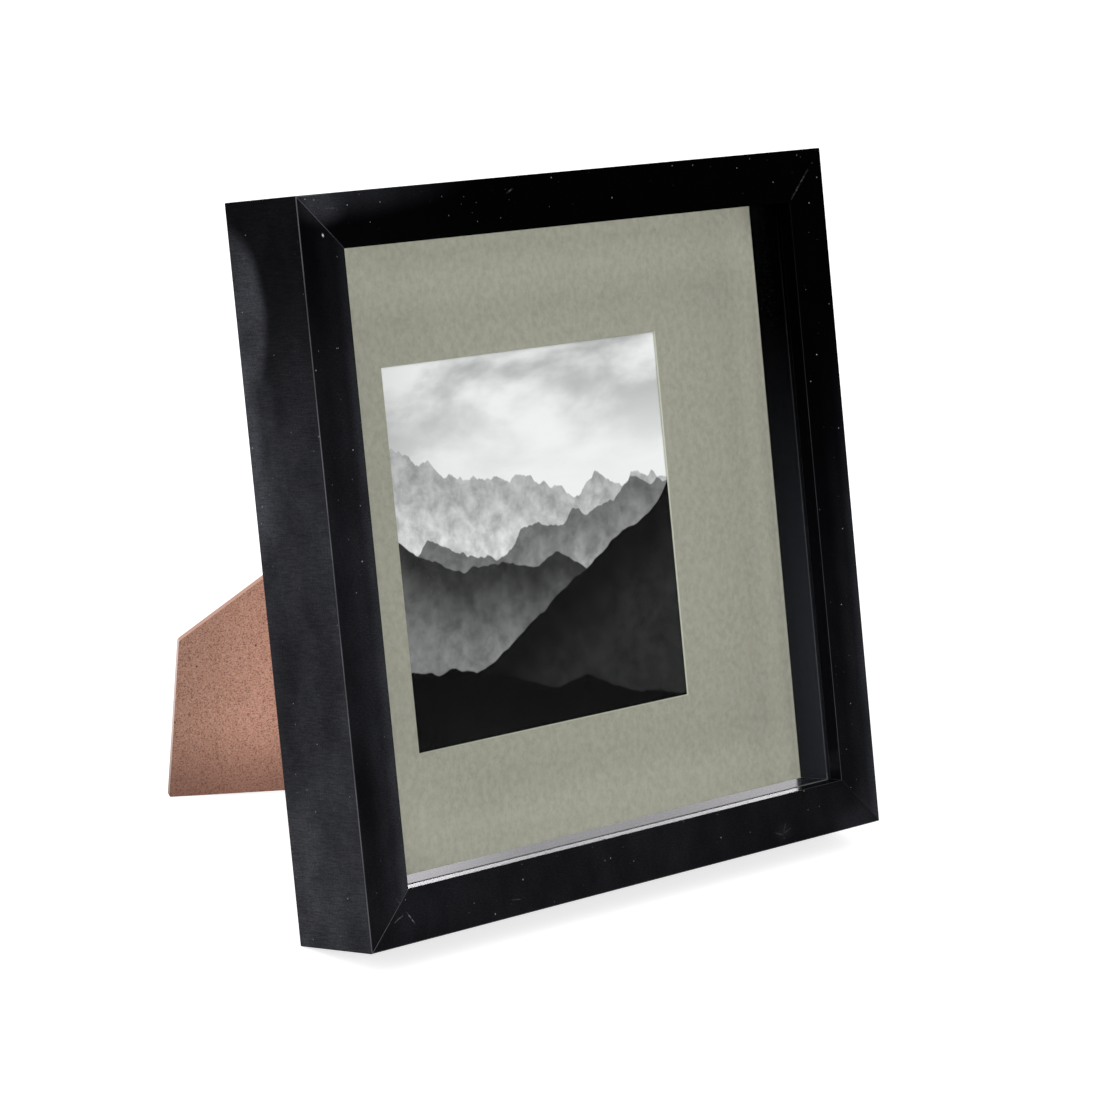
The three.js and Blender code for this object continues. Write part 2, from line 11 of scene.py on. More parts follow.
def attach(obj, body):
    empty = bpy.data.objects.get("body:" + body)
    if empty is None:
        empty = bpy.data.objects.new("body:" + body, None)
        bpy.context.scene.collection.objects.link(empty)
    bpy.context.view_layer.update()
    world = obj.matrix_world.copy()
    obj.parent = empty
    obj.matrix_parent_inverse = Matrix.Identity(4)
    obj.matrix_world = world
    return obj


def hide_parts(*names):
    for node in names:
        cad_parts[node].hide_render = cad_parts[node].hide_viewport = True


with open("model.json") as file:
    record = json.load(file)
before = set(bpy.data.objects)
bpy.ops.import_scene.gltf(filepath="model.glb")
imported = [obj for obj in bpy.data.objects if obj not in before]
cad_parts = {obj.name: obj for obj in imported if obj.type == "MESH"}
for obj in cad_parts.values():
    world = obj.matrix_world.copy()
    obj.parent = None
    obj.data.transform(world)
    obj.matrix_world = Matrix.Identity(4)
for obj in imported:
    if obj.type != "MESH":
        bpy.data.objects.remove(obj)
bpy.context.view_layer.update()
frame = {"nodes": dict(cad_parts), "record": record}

bl_info = {
    "name": "Shadow box frame dressing",
    "version": (1, 0, 0),
    "blender": (4, 5, 0),
    "location": "3D View > Sidebar > Shadow Box",
    "description": "Wraps the rails of a leaning shadow box frame and finishes each of its pieces",
    "category": "Object",
}

MM = 0.001

# The rail's section, as the solids have it
OUTER_SIDE = 286 * MM
FRAME_DEPTH = 42.4 * MM
FACE_WIDTH = 21.2 * MM
SIGHT_SIDE = OUTER_SIDE - 2 * FACE_WIDTH
LIP_THICKNESS = 6.6 * MM
WALL = 14.5 * MM
KERF_FRONT = 31.5 * MM
KERF_REAR = 33.1 * MM
KERF_DEPTH = 4 * MM
WALL_FACE_INSET = 4 * MM

# What the foil's finer section adds
ARRIS_STEPS = 6
SHARP_RADIUS = 0.25 * MM
MITRE_GAP = 0.06 * MM
MITRE_CHAMFER = 0.2 * MM

# Slots for the corner nails, seen from behind
NAIL_SETS = (2.4 * MM, 8.4 * MM)
NAIL_LEG = 4.8 * MM
NAIL_THICKNESS = 0.6 * MM
NAIL_HEIGHT = 7.5 * MM
SLOT_GAP = 0.25 * MM

# The picture's sheet, and its hills from far to near in shares of its width: seed, height, slope, swing,
# waves, and tone at the outline and low down
APERTURE_SHIFT = -14.5 * MM
PICTURE_WIDTH = 148.5 * MM
HILLS = (
    (3.1, 0.16, -0.16, 0.34, 3.2, 0.42, 0.7),
    (8.7, 0.02, 0.14, 0.32, 2.6, 0.15, 0.5),
    (15.2, -0.1, -0.34, 0.26, 2.2, 0.03, 0.22),
    (21.9, -0.2, 0.62, 0.24, 1.7, 0.004, 0.02),
    (30.3, -0.4, -0.2, 0.16, 2.8, 0.002, 0.006),
)

# Scratches and scuffs on the front, and a painted glint and mitre highlight: from a point to a point across
# and up, and width, in mm, then strength
FRONT_MARKS = (
    (-123.7, -130.8, -120.3, -135.6, 0.5, 0.9),
    (-130.4, -133.4, -128.4, -132.4, 0.45, 0.6),
    (-128.4, -132.4, -125.7, -131.4, 0.45, 0.6),
    (-128.5, -124.4, -126.4, -127.0, 0.4, 0.25),
    (-129.5, 137.4, -123.9, 137.1, 0.6, 0.15),
    # A painted glint at the top left
    (-131.8, 127.9, -131.5, 127.1, 0.85, 4.0),
    (83.3, -138.2, 88.8, -136.1, 0.5, 0.16),
    (79.0, -136.7, 83.3, -138.2, 0.7, 0.14),
    (84.1, -137.4, 86.0, -133.2, 0.6, 0.12),
    (-37.3, 136.5, -33.9, 138.0, 0.7, 0.3),
    (-69.9, -136.2, -64.7, -136.8, 0.4, 0.25),
    # A painted highlight along the top right mitre
    (122.8, 122.8, 134.5, 134.5, 0.5, 1.5),
)

# Hazy patches on the front, partly handling haze and partly painted sheen: across and up and reach across and
# up in mm, strength, and the share of the reach that is even. A strength below nought is a darker patch.
FRONT_PATCHES = (
    (-140, 50, 14, 60, 0.045, 0.2),
    (-138, -80, 12, 26, -0.07, 0.2),
    (0, -132, 160, 16, 0.04, 0.7),
    (130, -142, 20, 12, 0.2, 0),
    (84, -137, 7, 5, 0.1, 0),
)

# The same on the top rail's front, which fade beyond the mitre
TOP_PATCHES = (
    (-132, 143, 80, 13, 0.28, 0),
    (-131, 138, 15, 9, 0.28, 0.3),
)

# The same on the left side, with back from the front face in place of across
SIDE_PATCHES = (
    (43, 101, 21, 35, 0.5, 0.7),
    (45, 46, 14, 50, 0.46, 0.4),
    (36, 50, 16, 48, 0.12, 0.4),
    (22, -36, 24, 48, -0.1, 0.4),
    (36, -108, 18, 38, 0.3, 0.2),
)

# Painted light on the mount card near each rail, making it paler against the shade the rail casts there: the
# way, where that begins and is full in mm, and how much
CARD_PAINTED_LIGHT = (
    ("Up", 88, 122, 0.62),
    ("Up", 115, 121.5, 0.4),
    ("Up", -90, -122, 0.37),
    ("Up", -117, -121.5, 0.15),
    ("Across", -75, -120, 0.45),
    ("Across", 100, 122, 0.32),
    ("Across", 119.5, 121.5, 0.3),
)

# The same painted light in two corners: where that begins and is full across, then up, in mm, and how much
CARD_CORNER_PAINTED_LIGHT = (
    (85, 122, 75, 122, 0.14),
    (112, 121, 60, 110, 0.35),
    (-50, -100, -60, -100, 0.2),
)

# The strip of the card that glows in reflections, a painted reflection that the bottom ledge mirrors
GLOW_STRIP_HEIGHT = 8.3 * MM
GLOW_STRIP_TOP_FADE = 1.5 * MM
GLOW_STRIP_LEFT = -106 * MM
GLOW_STRIP_RIGHT = 120.5 * MM
GLOW_STRIP_END_FADE = 2 * MM

# Two soft lamps: place and size in metres
KEY_LAMP = ((-2.5, -0.9, 1.9), 1.8)
FRONT_LAMP = ((0.5, -2.9, 1.2), 1.4)
LIT_POINT = (0, 0, 0.12)

# The camera stands where the photograph was taken from: metres, degrees, and mm for lens and sensor
CAMERA_PLACE = (-1.09373, -1.08938, 0.64486)
CAMERA_TURN = (71.288, -7.332, -43.034)
CAMERA_LENS = 130.93
SENSOR = 36

SIDES = ("bottom", "left", "top", "right")
CORNERS = ("bottom_left", "top_left", "top_right", "bottom_right")
TABS = (
    "bottom_near", "bottom_far", "left_near", "left_far",
    "top_left", "top_right", "right_upper", "right_lower",
)


# Where things are

def leaning_axes():
    """The leaning frame's own axes: x across the front, y from the glass to the back, z up the glass."""
    wall_face = next(m for m in frame["record"]["mounts"] if m["name"] == "wall_face_top")
    back = Vector(wall_face["axis"])
    across = Vector((1, 0, 0))
    up = across.cross(back)
    centre = Vector(wall_face["pos_m"]) - back * FRAME_DEPTH - up * (OUTER_SIDE / 2 - WALL_FACE_INSET)
    axes = Matrix((across, back, up)).transposed().to_4x4()
    return Matrix.Translation(centre) @ axes


LEANING = leaning_axes()
LEAN = math.atan2(-LEANING[2][1], LEANING[1][1])


def nodes_named(*names):
    return [frame["nodes"][name] for name in names]


# Shader trees

def put(tree, socket, value):
    if isinstance(value, bpy.types.NodeSocket):
        tree.links.new(value, socket)
    else:
        socket.default_value = value


def add(tree, kind, values=None, **settings):
    node = tree.nodes.new("ShaderNode" + kind)
    for name, value in settings.items():
        setattr(node, name, value)
    for name, value in (values or {}).items():
        put(tree, node.inputs[name], value)
    return node


def maths(tree, operation, *values, clamp=False):
    node = add(tree, "Math", operation=operation, use_clamp=clamp)
    for socket, value in zip(node.inputs, values):
        put(tree, socket, value)
    return node.outputs[0]


def times(tree, first, second, clamp=False):
    return maths(tree, "MULTIPLY", first, second, clamp=clamp)


def plus(tree, first, second):
    return maths(tree, "ADD", first, second)


def larger(tree, first, second):
    return maths(tree, "MAXIMUM", first, second)


def size_of(tree, value):
    return maths(tree, "ABSOLUTE", value)


def ramp(tree, value, low, high, start=0.0, end=1.0):
    """A smooth step from start to end as value goes from low to high."""
    limits = {"From Min": low, "From Max": high, "To Min": start, "To Max": end}
    node = add(tree, "MapRange", {"Value": value, **limits}, interpolation_type="SMOOTHSTEP")
    return node.outputs["Result"]


def object_place(tree):
    """Where a point is on the piece itself, in metres."""
    return add(tree, "TexCoord").outputs["Object"]


def blend_colours(tree, share, first, second):
    """From the first colour to the second, which are the Mix node's sockets 6 and 7."""
    node = add(tree, "Mix", data_type="RGBA")
    put(tree, node.inputs[0], share)
    put(tree, node.inputs[6], first)
    put(tree, node.inputs[7], second)
    return node.outputs[2]


def blend_values(tree, share, first, second):
    """From the first number to the second, which are the Mix node's sockets 2 and 3."""
    node = add(tree, "Mix", data_type="FLOAT")
    put(tree, node.inputs[0], share)
    put(tree, node.inputs[2], first)
    put(tree, node.inputs[3], second)
    return node.outputs[0]


def noise(tree, place, scale, detail=3.0, roughness=0.5, distortion=0.0):
    values = {"Scale": scale, "Detail": detail, "Roughness": roughness, "Distortion": distortion}
    return add(tree, "TexNoise", {"Vector": place, **values}).outputs["Fac"]


def stretched(tree, place, factors):
    return vector_maths(tree, "MULTIPLY", "Vector", place, factors)


def scaled(tree, vector, factor):
    return add(tree, "VectorMath", {0: vector, "Scale": factor}, operation="SCALE").outputs[0]


def flat_point(tree, across, up):
    return add(tree, "CombineXYZ", {"X": across, "Y": up}).outputs[0]


def vector_maths(tree, operation, result, *values):
    node = add(tree, "VectorMath", operation=operation)
    for socket, value in zip(node.inputs, values):
        put(tree, socket, value)
    return node.outputs[result]


def grey(level):
    return (level, level, level, 1)


def opaque(colour):
    return (*colour, 1)


class Effect:
    """A shader node group that is built once and placed in each material with its own values.

    Its inputs are numbers with their defaults. Of its outputs, Place is a vector and the others are numbers.
    """

    made = {}

    def __init__(self, name, inputs, outputs):
        self.tree = bpy.data.node_groups.new(name, "ShaderNodeTree")
        for label, default in inputs.items():
            socket = self.tree.interface.new_socket(name=label, in_out="INPUT", socket_type="NodeSocketFloat")
            socket.default_value = default
        for label in outputs:
            kind = "NodeSocketVector" if label == "Place" else "NodeSocketFloat"
            self.tree.interface.new_socket(name=label, in_out="OUTPUT", socket_type=kind)
        self.given = self.tree.nodes.new("NodeGroupInput").outputs
        self.results = self.tree.nodes.new("NodeGroupOutput").inputs

    def give(self, label, value):
        self.tree.links.new(value, self.results[label])


def place_effect(tree, builder, **values):
    """Places the effect that builder makes, and sets its inputs by name."""
    if builder.__name__ not in Effect.made:
        Effect.made[builder.__name__] = builder().tree
    node = tree.nodes.new("ShaderNodeGroup")
    node.node_tree = Effect.made[builder.__name__]
    for name, value in values.items():
        put(tree, node.inputs[name], value)
    return node.outputs


def leaned_place():
    """Where a point is on the leaning frame: metres across, back from the front face, up from the middle."""
    effect = Effect("Leaned place", {}, ("Place", "Across", "Back", "Up"))
    tree = effect.tree
    point = object_place(tree)
    values = {"Vector": point, "Location": LEANING.inverted().translation, "Rotation": (LEAN, 0, 0)}
    turned = add(tree, "Mapping", values, vector_type="POINT").outputs[0]
    parts = add(tree, "SeparateXYZ", {0: turned}).outputs
    effect.give("Place", turned)
    for label, part in zip(("Across", "Back", "Up"), parts):
        effect.give(label, part)
    return effect


def leaned_facing():
    """Which way a surface faces on the leaning frame, and how far it is from facing along one of its axes."""
    effect = Effect("Leaned facing", {}, ("Across", "Back", "Up", "Arris"))
    tree = effect.tree
    normal = add(tree, "TexCoord").outputs["Normal"]
    turned = add(tree, "Mapping", {"Vector": normal, "Rotation": (LEAN, 0, 0)}, vector_type="VECTOR")
    parts = add(tree, "SeparateXYZ", {0: turned.outputs[0]}).outputs
    sizes = [size_of(tree, part) for part in parts]
    largest = larger(tree, larger(tree, sizes[0], sizes[1]), sizes[2])
    for label, part in zip(("Across", "Back", "Up"), parts):
        effect.give(label, part)
    effect.give("Arris", ramp(tree, maths(tree, "SUBTRACT", 1.0, largest), 0.06, 0.2))
    return effect


def dust_specks():
    """Tiny specks of dust, most of them faint."""
    effect = Effect("Dust specks", {"Scale": 300.0, "Size": 0.09, "Share": 1.0}, ["Mask"])
    tree = effect.tree
    place = object_place(tree)
    cells = add(tree, "TexVoronoi", {"Vector": place, "Scale": effect.given["Scale"]}, feature="F1")
    chance = add(tree, "SeparateColor", {"Color": cells.outputs["Color"]}).outputs
    kept = maths(tree, "LESS_THAN", chance["Red"], effect.given["Share"])
    radius = times(tree, effect.given["Size"], ramp(tree, chance["Green"], 0.0, 1.0, 0.35, 1.0))
    near = maths(tree, "LESS_THAN", cells.outputs["Distance"], radius)
    bright = maths(tree, "POWER", larger(tree, chance["Blue"], 0.35), 3.0)
    effect.give("Mask", times(tree, times(tree, kept, near), bright))
    return effect


def front_mark():
    """A hairline from one point of the front to another, fainter towards its ends."""
    effect = Effect("Front mark", {
        "From across": 0.0, "From up": 0.0, "To across": 0.01, "To up": 0.01, "Width": 0.0005}, ["Mask"])
    tree = effect.tree
    given = effect.given
    place = place_effect(tree, leaned_place)
    point = flat_point(tree, place["Across"], place["Up"])
    start = flat_point(tree, given["From across"], given["From up"])
    end = flat_point(tree, given["To across"], given["To up"])
    run = vector_maths(tree, "SUBTRACT", "Vector", end, start)
    away = vector_maths(tree, "SUBTRACT", "Vector", point, start)
    share = vector_maths(tree, "DOT_PRODUCT", "Value", away, run)
    whole = vector_maths(tree, "DOT_PRODUCT", "Value", run, run)
    along = maths(tree, "DIVIDE", share, whole, clamp=True)
    off = vector_maths(tree, "DISTANCE", "Value", away, scaled(tree, run, along))
    line = ramp(tree, maths(tree, "DIVIDE", off, given["Width"]), 0.7, 0.15)
    middle = size_of(tree, maths(tree, "SUBTRACT", along, 0.5))
    effect.give("Mask", times(tree, line, ramp(tree, middle, 0.5, 0.2, 0.3, 1.0)))
    return effect


def hazy_patch():
    """A soft patch round a point of a face, even within its core, given its reach along each of two ways."""
    effect = Effect("Hazy patch", {
        "Along": 0.0, "Up": 0.0, "Centre along": 0.0, "Centre up": 0.0, "Reach along": 0.02, "Reach up": 0.02,
        "Core": 0.0}, ["Mask"])
    tree = effect.tree
    given = effect.given
    shares = []
    for way in ("Along", "Up"):
        offset = maths(tree, "SUBTRACT", given[way], given["Centre " + way.lower()])
        shares.append(maths(tree, "DIVIDE", offset, given["Reach " + way.lower()]))
    away = vector_maths(tree, "LENGTH", "Value", flat_point(tree, *shares))
    effect.give("Mask", ramp(tree, away, 1.0, given["Core"]))
    return effect


def soft_haze():
    """Large soft clouds, as handling leaves them on a dark satin foil."""
    effect = Effect("Soft haze", {"Scale": 9.0, "Low": 0.4, "High": 0.7}, ["Mask"])
    tree = effect.tree
    place = stretched(tree, object_place(tree), (1.0, 2.2, 0.7))
    clouds = noise(tree, place, effect.given["Scale"], detail=2.0, roughness=0.45, distortion=0.4)
    effect.give("Mask", ramp(tree, clouds, effect.given["Low"], effect.given["High"]))
    return effect


def board_fibres():
    """Pressed fibres: fine grain, long faint fibres and scattered dark and pale specks."""
    effect = Effect("Board fibres", {"Grain": 900.0, "Specks": 700.0}, ("Grain", "Fibres", "Dark", "Pale"))
    tree = effect.tree
    place = object_place(tree)
    grain = noise(tree, place, effect.given["Grain"], detail=4.0, roughness=0.7)
    drawn_out = stretched(tree, place, (260, 260, 110))
    fibres = noise(tree, drawn_out, 1.0, detail=3.0, roughness=0.6, distortion=0.8)
    specks = noise(tree, place, effect.given["Specks"], detail=1.0)
    effect.give("Grain", grain)
    effect.give("Fibres", fibres)
    effect.give("Dark", ramp(tree, specks, 0.52, 0.68))
    effect.give("Pale", ramp(tree, specks, 0.45, 0.3))
    return effect


# Materials

def start_material(name, values):
    material = bpy.data.materials.new(name)
    material.use_nodes = True
    tree = material.node_tree
    tree.nodes.clear()
    shader = add(tree, "BsdfPrincipled", values)
    add(tree, "OutputMaterial", {"Surface": shader.outputs[0]})
    return material, tree, shader


def bump(tree, height, distance, strength=1.0):
    return add(tree, "Bump", {"Height": height, "Distance": distance, "Strength": strength}).outputs[0]


def in_metres(labels, lengths):
    """An effect's inputs by name, from their lengths in mm."""
    return {label: length * MM for label, length in zip(labels, lengths)}


def patched(tree, tone, along, up, patches):
    """The tone with each of the hazy patches added."""
    labels = ("Centre along", "Centre up", "Reach along", "Reach up")
    for *lengths, strength, core in patches:
        sizes = in_metres(labels, lengths)
        patch = place_effect(tree, hazy_patch, Along=along, Up=up, Core=core, **sizes)
        tone = plus(tree, tone, times(tree, patch["Mask"], strength))
    return larger(tree, tone, 0.0)


def is_upright(tree, place):
    """One on the two upright rails, and nought on the two level ones."""
    outward, upward = (size_of(tree, place[way]) for way in ("Across", "Up"))
    return maths(tree, "GREATER_THAN", outward, upward)


def upright_sheen(tree, place):
    """Painted sheen: how much paler the two upright rails' fronts are towards their right-hand arris."""
    from_left = plus(tree, place["Across"], OUTER_SIDE / 2)
    along = maths(tree, "MODULO", from_left, OUTER_SIDE - FACE_WIDTH)
    wide = ramp(tree, along, 0.25 * FACE_WIDTH, 0.65 * FACE_WIDTH, 0.0, 0.09)
    narrow = ramp(tree, along, 0.7 * FACE_WIDTH, 0.98 * FACE_WIDTH, 0.0, 0.26)
    return times(tree, plus(tree, wide, narrow), is_upright(tree, place))


def foil_tone(tree, place, facing):
    """Painted sheen and haze on the foil: hardly at the top, more low down, and most on its sides towards the
    back.
    """
    # Painted sheen on the front, fading towards the top right
    aslant = plus(tree, place["Up"], times(tree, place["Across"], 0.45))
    most = ramp(tree, place["Across"], -OUTER_SIDE / 2, OUTER_SIDE / 2, 0.15, 0.085)
    front = times(tree, ramp(tree, aslant, 0.12, -0.08), most)
    # Painted sheen along the uprights' right-hand arrises
    painted_highlight = times(tree, upright_sheen(tree, place), ramp(tree, aslant, 0.15, -0.03))
    front = patched(tree, plus(tree, front, painted_highlight), place["Across"], place["Up"], FRONT_PATCHES)
    top = patched(tree, 0.0, place["Across"], place["Up"], TOP_PATCHES)
    top = times(tree, top, blend_values(tree, is_upright(tree, place), 1.0, 0.4))
    front = plus(tree, front, top)
    # Painted sheen on the sides, paler lower down
    upper = ramp(tree, place["Up"], 0.12, 0.012, 0.08, 0.4)
    side = plus(tree, upper, ramp(tree, place["Up"], -0.07, -0.125, 0.0, 0.14))
    side = patched(tree, side, place["Back"], place["Up"], SIDE_PATCHES)
    return blend_values(tree, size_of(tree, facing["Across"]), front, side)


def painted_arris_highlight(tree, place, facing):
    """Painted highlights along the arrises and mitres: most at the left and low down, hardly along the top."""
    patches = ramp(tree, noise(tree, place["Place"], 60.0), 0.3, 0.7, 0.5, 1.0)
    low_down = ramp(tree, place["Up"], 0.13, -0.1, 0.0, 0.7)
    arrises = larger(tree, low_down, ramp(tree, place["Across"], -0.12, -0.14))
    left_side = ramp(tree, place["Across"], 0.05, -0.05, 0.4, 1.6)
    outward = ramp(tree, size_of(tree, place["Across"]), 0.118, 0.14, 0.45, 1.0)
    raised = larger(tree, low_down, ramp(tree, place["Across"], 0.05, -0.05))
    mitres = times(tree, times(tree, left_side, outward), raised)
    across, up = (size_of(tree, facing[way]) for way in ("Across", "Up"))
    slanting = maths(tree, "MINIMUM", across, up)
    share = blend_values(tree, ramp(tree, slanting, 0.2, 0.4), arrises, mitres)
    return times(tree, times(tree, facing["Arris"], patches), share, clamp=True)


def foil_marks(tree, colour, facing, strength):
    """Draws the scratches and scuffs of the front over the colour, with a painted glint and mitre highlight.
    """
    front = ramp(tree, facing["Back"], -0.8, -0.95)
    chipped = ramp(tree, noise(tree, object_place(tree), 900.0), 0.35, 0.6, 0.15, 1.0)
    front = times(tree, front, chipped)
    labels = ("From across", "From up", "To across", "To up", "Width")
    for *lengths, weight in FRONT_MARKS:
        mark = place_effect(tree, front_mark, **in_metres(labels, lengths))["Mask"]
        mark = times(tree, times(tree, mark, front), weight * strength, clamp=True)
        colour = blend_colours(tree, mark, colour, grey(0.6))
    return colour


def make_foil(name, look):
    """Black satin foil, finely lined, dusty, scratched and hazy, with painted sheen, arris highlights and a
    glint.
    """
    material, tree, shader = start_material(name, {
        "Roughness": 0.4, "Specular IOR Level": 0.002, "Coat Roughness": 0.3, "Coat IOR": 1.5})
    place = place_effect(tree, leaned_place)
    facing = place_effect(tree, leaned_facing)
    clouds = place_effect(tree, soft_haze, Scale=11.0, Low=0.34, High=0.66)["Mask"]
    smears = noise(tree, stretched(tree, place["Place"], (70, 70, 45)), 1.0, detail=5.0, roughness=0.6)
    weave = noise(tree, stretched(tree, place["Place"], (600, 160, 1900)), 1.0, detail=2.0)
    grain = noise(tree, place["Place"], 1900.0, detail=2.0)
    tone = foil_tone(tree, place, facing)
    patterns = (
        (clouds, 0.0, 1.0, 0.85, 1.1),
        (smears, 0.25, 0.75, 0.75, 1.25),
        (weave, 0.2, 0.8, 0.75, 1.25),
        (grain, 0.2, 0.8, 0.65, 1.35),
    )
    for pattern, low, high, least, most in patterns:
        tone = times(tree, tone, ramp(tree, pattern, low, high, least, most))
    tone = maths(tree, "MINIMUM", tone, 1.0)
    colour = blend_colours(tree, tone, opaque(look.foil), opaque(look.haze))
    colour = blend_colours(tree, painted_arris_highlight(tree, place, facing), colour, opaque(look.arris))
    colour = foil_marks(tree, colour, facing, look.scratched)
    dust = place_effect(tree, dust_specks)["Mask"]
    colour = blend_colours(tree, times(tree, dust, look.dusty), colour, grey(0.7))
    put(tree, shader.inputs["Base Color"], colour)
    put(tree, shader.inputs["Coat Weight"], times(tree, tone, 0.35))
    put(tree, shader.inputs["Normal"], bump(tree, weave, 0.02 * MM, 0.4))
    return material


def make_sight_foil(name, look, clean, values):
    """The same foil on the walls round the glass, where a low view makes it mirror the mount."""
    material, tree, shader = start_material(name, values)
    place = place_effect(tree, leaned_place)
    facing = place_effect(tree, leaned_facing)
    lines = noise(tree, stretched(tree, place["Place"], (12, 2600, 1500)), 1.0, detail=2.0)
    # Painted light on the walls, paler low down and towards the front; clean is the share of it left off, most
    # on the lip
    hazy = times(tree, ramp(tree, place["Up"], 0.085, -0.09), 1 - clean)
    hazy = times(tree, hazy, ramp(tree, place["Back"], 8 * MM, 22 * MM, 0.95, 0.62))
    tone = times(tree, hazy, ramp(tree, lines, 0.3, 0.7, 0.85, 1.05))
    colour = blend_colours(tree, tone, opaque(look.foil), opaque(look.sight))
    # Painted highlights on the edges, paler low down and palest along the bottom ledge
    ledge = ramp(tree, place["Up"], 0.005 - SIGHT_SIDE / 2, 0.001 - SIGHT_SIDE / 2)
    upright = ramp(tree, place["Up"], 0.13, -0.1, 0.0, 0.45)
    edge = times(tree, facing["Arris"], larger(tree, upright, ledge))
    painted_highlight = blend_colours(tree, ledge, opaque(look.arris), grey(0.12))
    colour = blend_colours(tree, edge, colour, painted_highlight)
    dust = times(tree, place_effect(tree, dust_specks, Share=0.15)["Mask"], 0.5 * look.dusty)
    dust = times(tree, dust, ramp(tree, place["Up"], 0.09, 0.0))
    colour = blend_colours(tree, dust, colour, grey(0.6))
    put(tree, shader.inputs["Base Color"], colour)
    put(tree, shader.inputs["Normal"], bump(tree, lines, 0.002 * MM, 0.05))
    return material


def make_raw_fibre():
    """The moulding's own wood fibre, in the kerf and the nail slots."""
    material, tree, shader = start_material("raw_fibre", {"Roughness": 0.9, "Specular IOR Level": 0.2})
    fibres = place_effect(tree, board_fibres)
    colour = blend_colours(tree, fibres["Fibres"], opaque((0.2, 0.12, 0.065)), opaque((0.33, 0.22, 0.13)))
    put(tree, shader.inputs["Base Color"], colour)
    put(tree, shader.inputs["Normal"], bump(tree, fibres["Grain"], 0.1 * MM, 0.5))
    return material


def make_glazing():
    """Clear float glass that lets daylight through to the mount."""
    material, tree, shader = start_material("clear_glass", {
        "Base Color": (0.99, 0.998, 0.995, 1), "Roughness": 0.0, "IOR": 1.04, "Transmission Weight": 1.0})
    path = add(tree, "LightPath").outputs
    passing = larger(tree, path["Is Shadow Ray"], path["Is Diffuse Ray"])
    clear = add(tree, "BsdfTransparent", {"Color": (0.985, 0.995, 0.99, 1)})
    mixed = add(tree, "MixShader", {0: passing, 1: shader.outputs[0], 2: clear.outputs[0]})
    tree.links.new(mixed.outputs[0], tree.nodes["Material Output"].inputs["Surface"])
    return material


def painted_fill_light(tree, place):
    """Painted light: how much paler the card is towards the rails than in the middle, against the shade they
    cast.
    """
    lift = 0.93
    for way, low, high, amount in CARD_PAINTED_LIGHT:
        lift = plus(tree, lift, ramp(tree, place[way], low * MM, high * MM, 0.0, amount))
    for *limits, amount in CARD_CORNER_PAINTED_LIGHT:
        across_low, across_high, up_low, up_high = (limit * MM for limit in limits)
        across = ramp(tree, place["Across"], across_low, across_high)
        up = ramp(tree, place["Up"], up_low, up_high, 0.0, amount)
        lift = plus(tree, lift, times(tree, across, up))
    return lift


def reflection_glow_strip(tree, place):
    """Painted reflection: a glowing strip of the card by the bottom ledge, short of the corners, brightest at
    the left.
    """
    top = GLOW_STRIP_HEIGHT - SIGHT_SIDE / 2
    strip = ramp(tree, place["Up"], top, top - GLOW_STRIP_TOP_FADE)
    for end, fade in ((GLOW_STRIP_RIGHT, -GLOW_STRIP_END_FADE), (GLOW_STRIP_LEFT, GLOW_STRIP_END_FADE)):
        strip = times(tree, strip, ramp(tree, place["Across"], end, end + fade))
    left = ramp(tree, place["Across"], -0.03, -0.11, 0.54, 1.0)
    right = ramp(tree, place["Across"], 0.03, 0.11, 0.0, 0.14)
    return times(tree, strip, plus(tree, left, right))


def make_mount_card(look):
    """Sage mount card with upright paper fibres, and its pale core in the bevel of the window."""
    material, tree, shader = start_material("sage_mount_card", {
        "Roughness": 0.85, "Specular IOR Level": 0.1, "Emission Strength": look.reflection_glow})
    place = place_effect(tree, leaned_place)
    facing = place_effect(tree, leaned_facing)
    blots = noise(tree, stretched(tree, place["Place"], (380, 380, 300)), 1.0, detail=4.0, roughness=0.65)
    grain = noise(tree, stretched(tree, place["Place"], (1250, 1250, 850)), 1.0, detail=3.0, roughness=0.7)
    warm = noise(tree, place["Place"], 90.0, detail=3.0)
    colour = blend_colours(tree, ramp(tree, blots, 0.28, 0.72), opaque(look.shade), opaque(look.light))
    colour = blend_colours(tree, ramp(tree, warm, 0.5, 0.75, 0.0, 0.5), colour, opaque(look.warm))
    colour = blend_colours(tree, ramp(tree, grain, 0.3, 0.7, 0.0, 0.4), colour, opaque(look.light))
    # Painted light near the rails, against the shade they cast
    colour = scaled(tree, colour, painted_fill_light(tree, place))
    bevelled = ramp(tree, size_of(tree, facing["Back"]), 0.95, 0.85)
    colour = blend_colours(tree, bevelled, colour, opaque(look.core))
    put(tree, shader.inputs["Base Color"], colour)
    # Painted reflection: the strip glows only for reflected rays, so the bottom ledge mirrors it bright
    glow_in_reflections = maths(tree, "GREATER_THAN", add(tree, "LightPath").outputs["Glossy Depth"], 0.5)
    glow_in_reflections = times(tree, glow_in_reflections, reflection_glow_strip(tree, place))
    reflection_glow = blend_colours(tree, glow_in_reflections, grey(0), (0.98, 0.95, 1.0, 1))
    put(tree, shader.inputs["Emission Color"], reflection_glow)
    put(tree, shader.inputs["Normal"], bump(tree, grain, 0.05 * MM, 0.4))
    return material


def ridge(tree, across, up, seed, height, slope, swing, waves):
    """A mask of what lies under a hill's outline, and how far under it a point lies."""
    along = plus(tree, times(tree, across, waves), seed)
    values = {"W": along, "Scale": 1.0, "Detail": 5.0, "Roughness": 0.5}
    wave = add(tree, "TexNoise", values, noise_dimensions="1D").outputs["Fac"]
    outline = plus(tree, height, times(tree, across, slope))
    outline = plus(tree, outline, times(tree, maths(tree, "SUBTRACT", wave, 0.5), swing))
    under = maths(tree, "SUBTRACT", outline, up)
    return ramp(tree, under, -0.002, 0.003), under


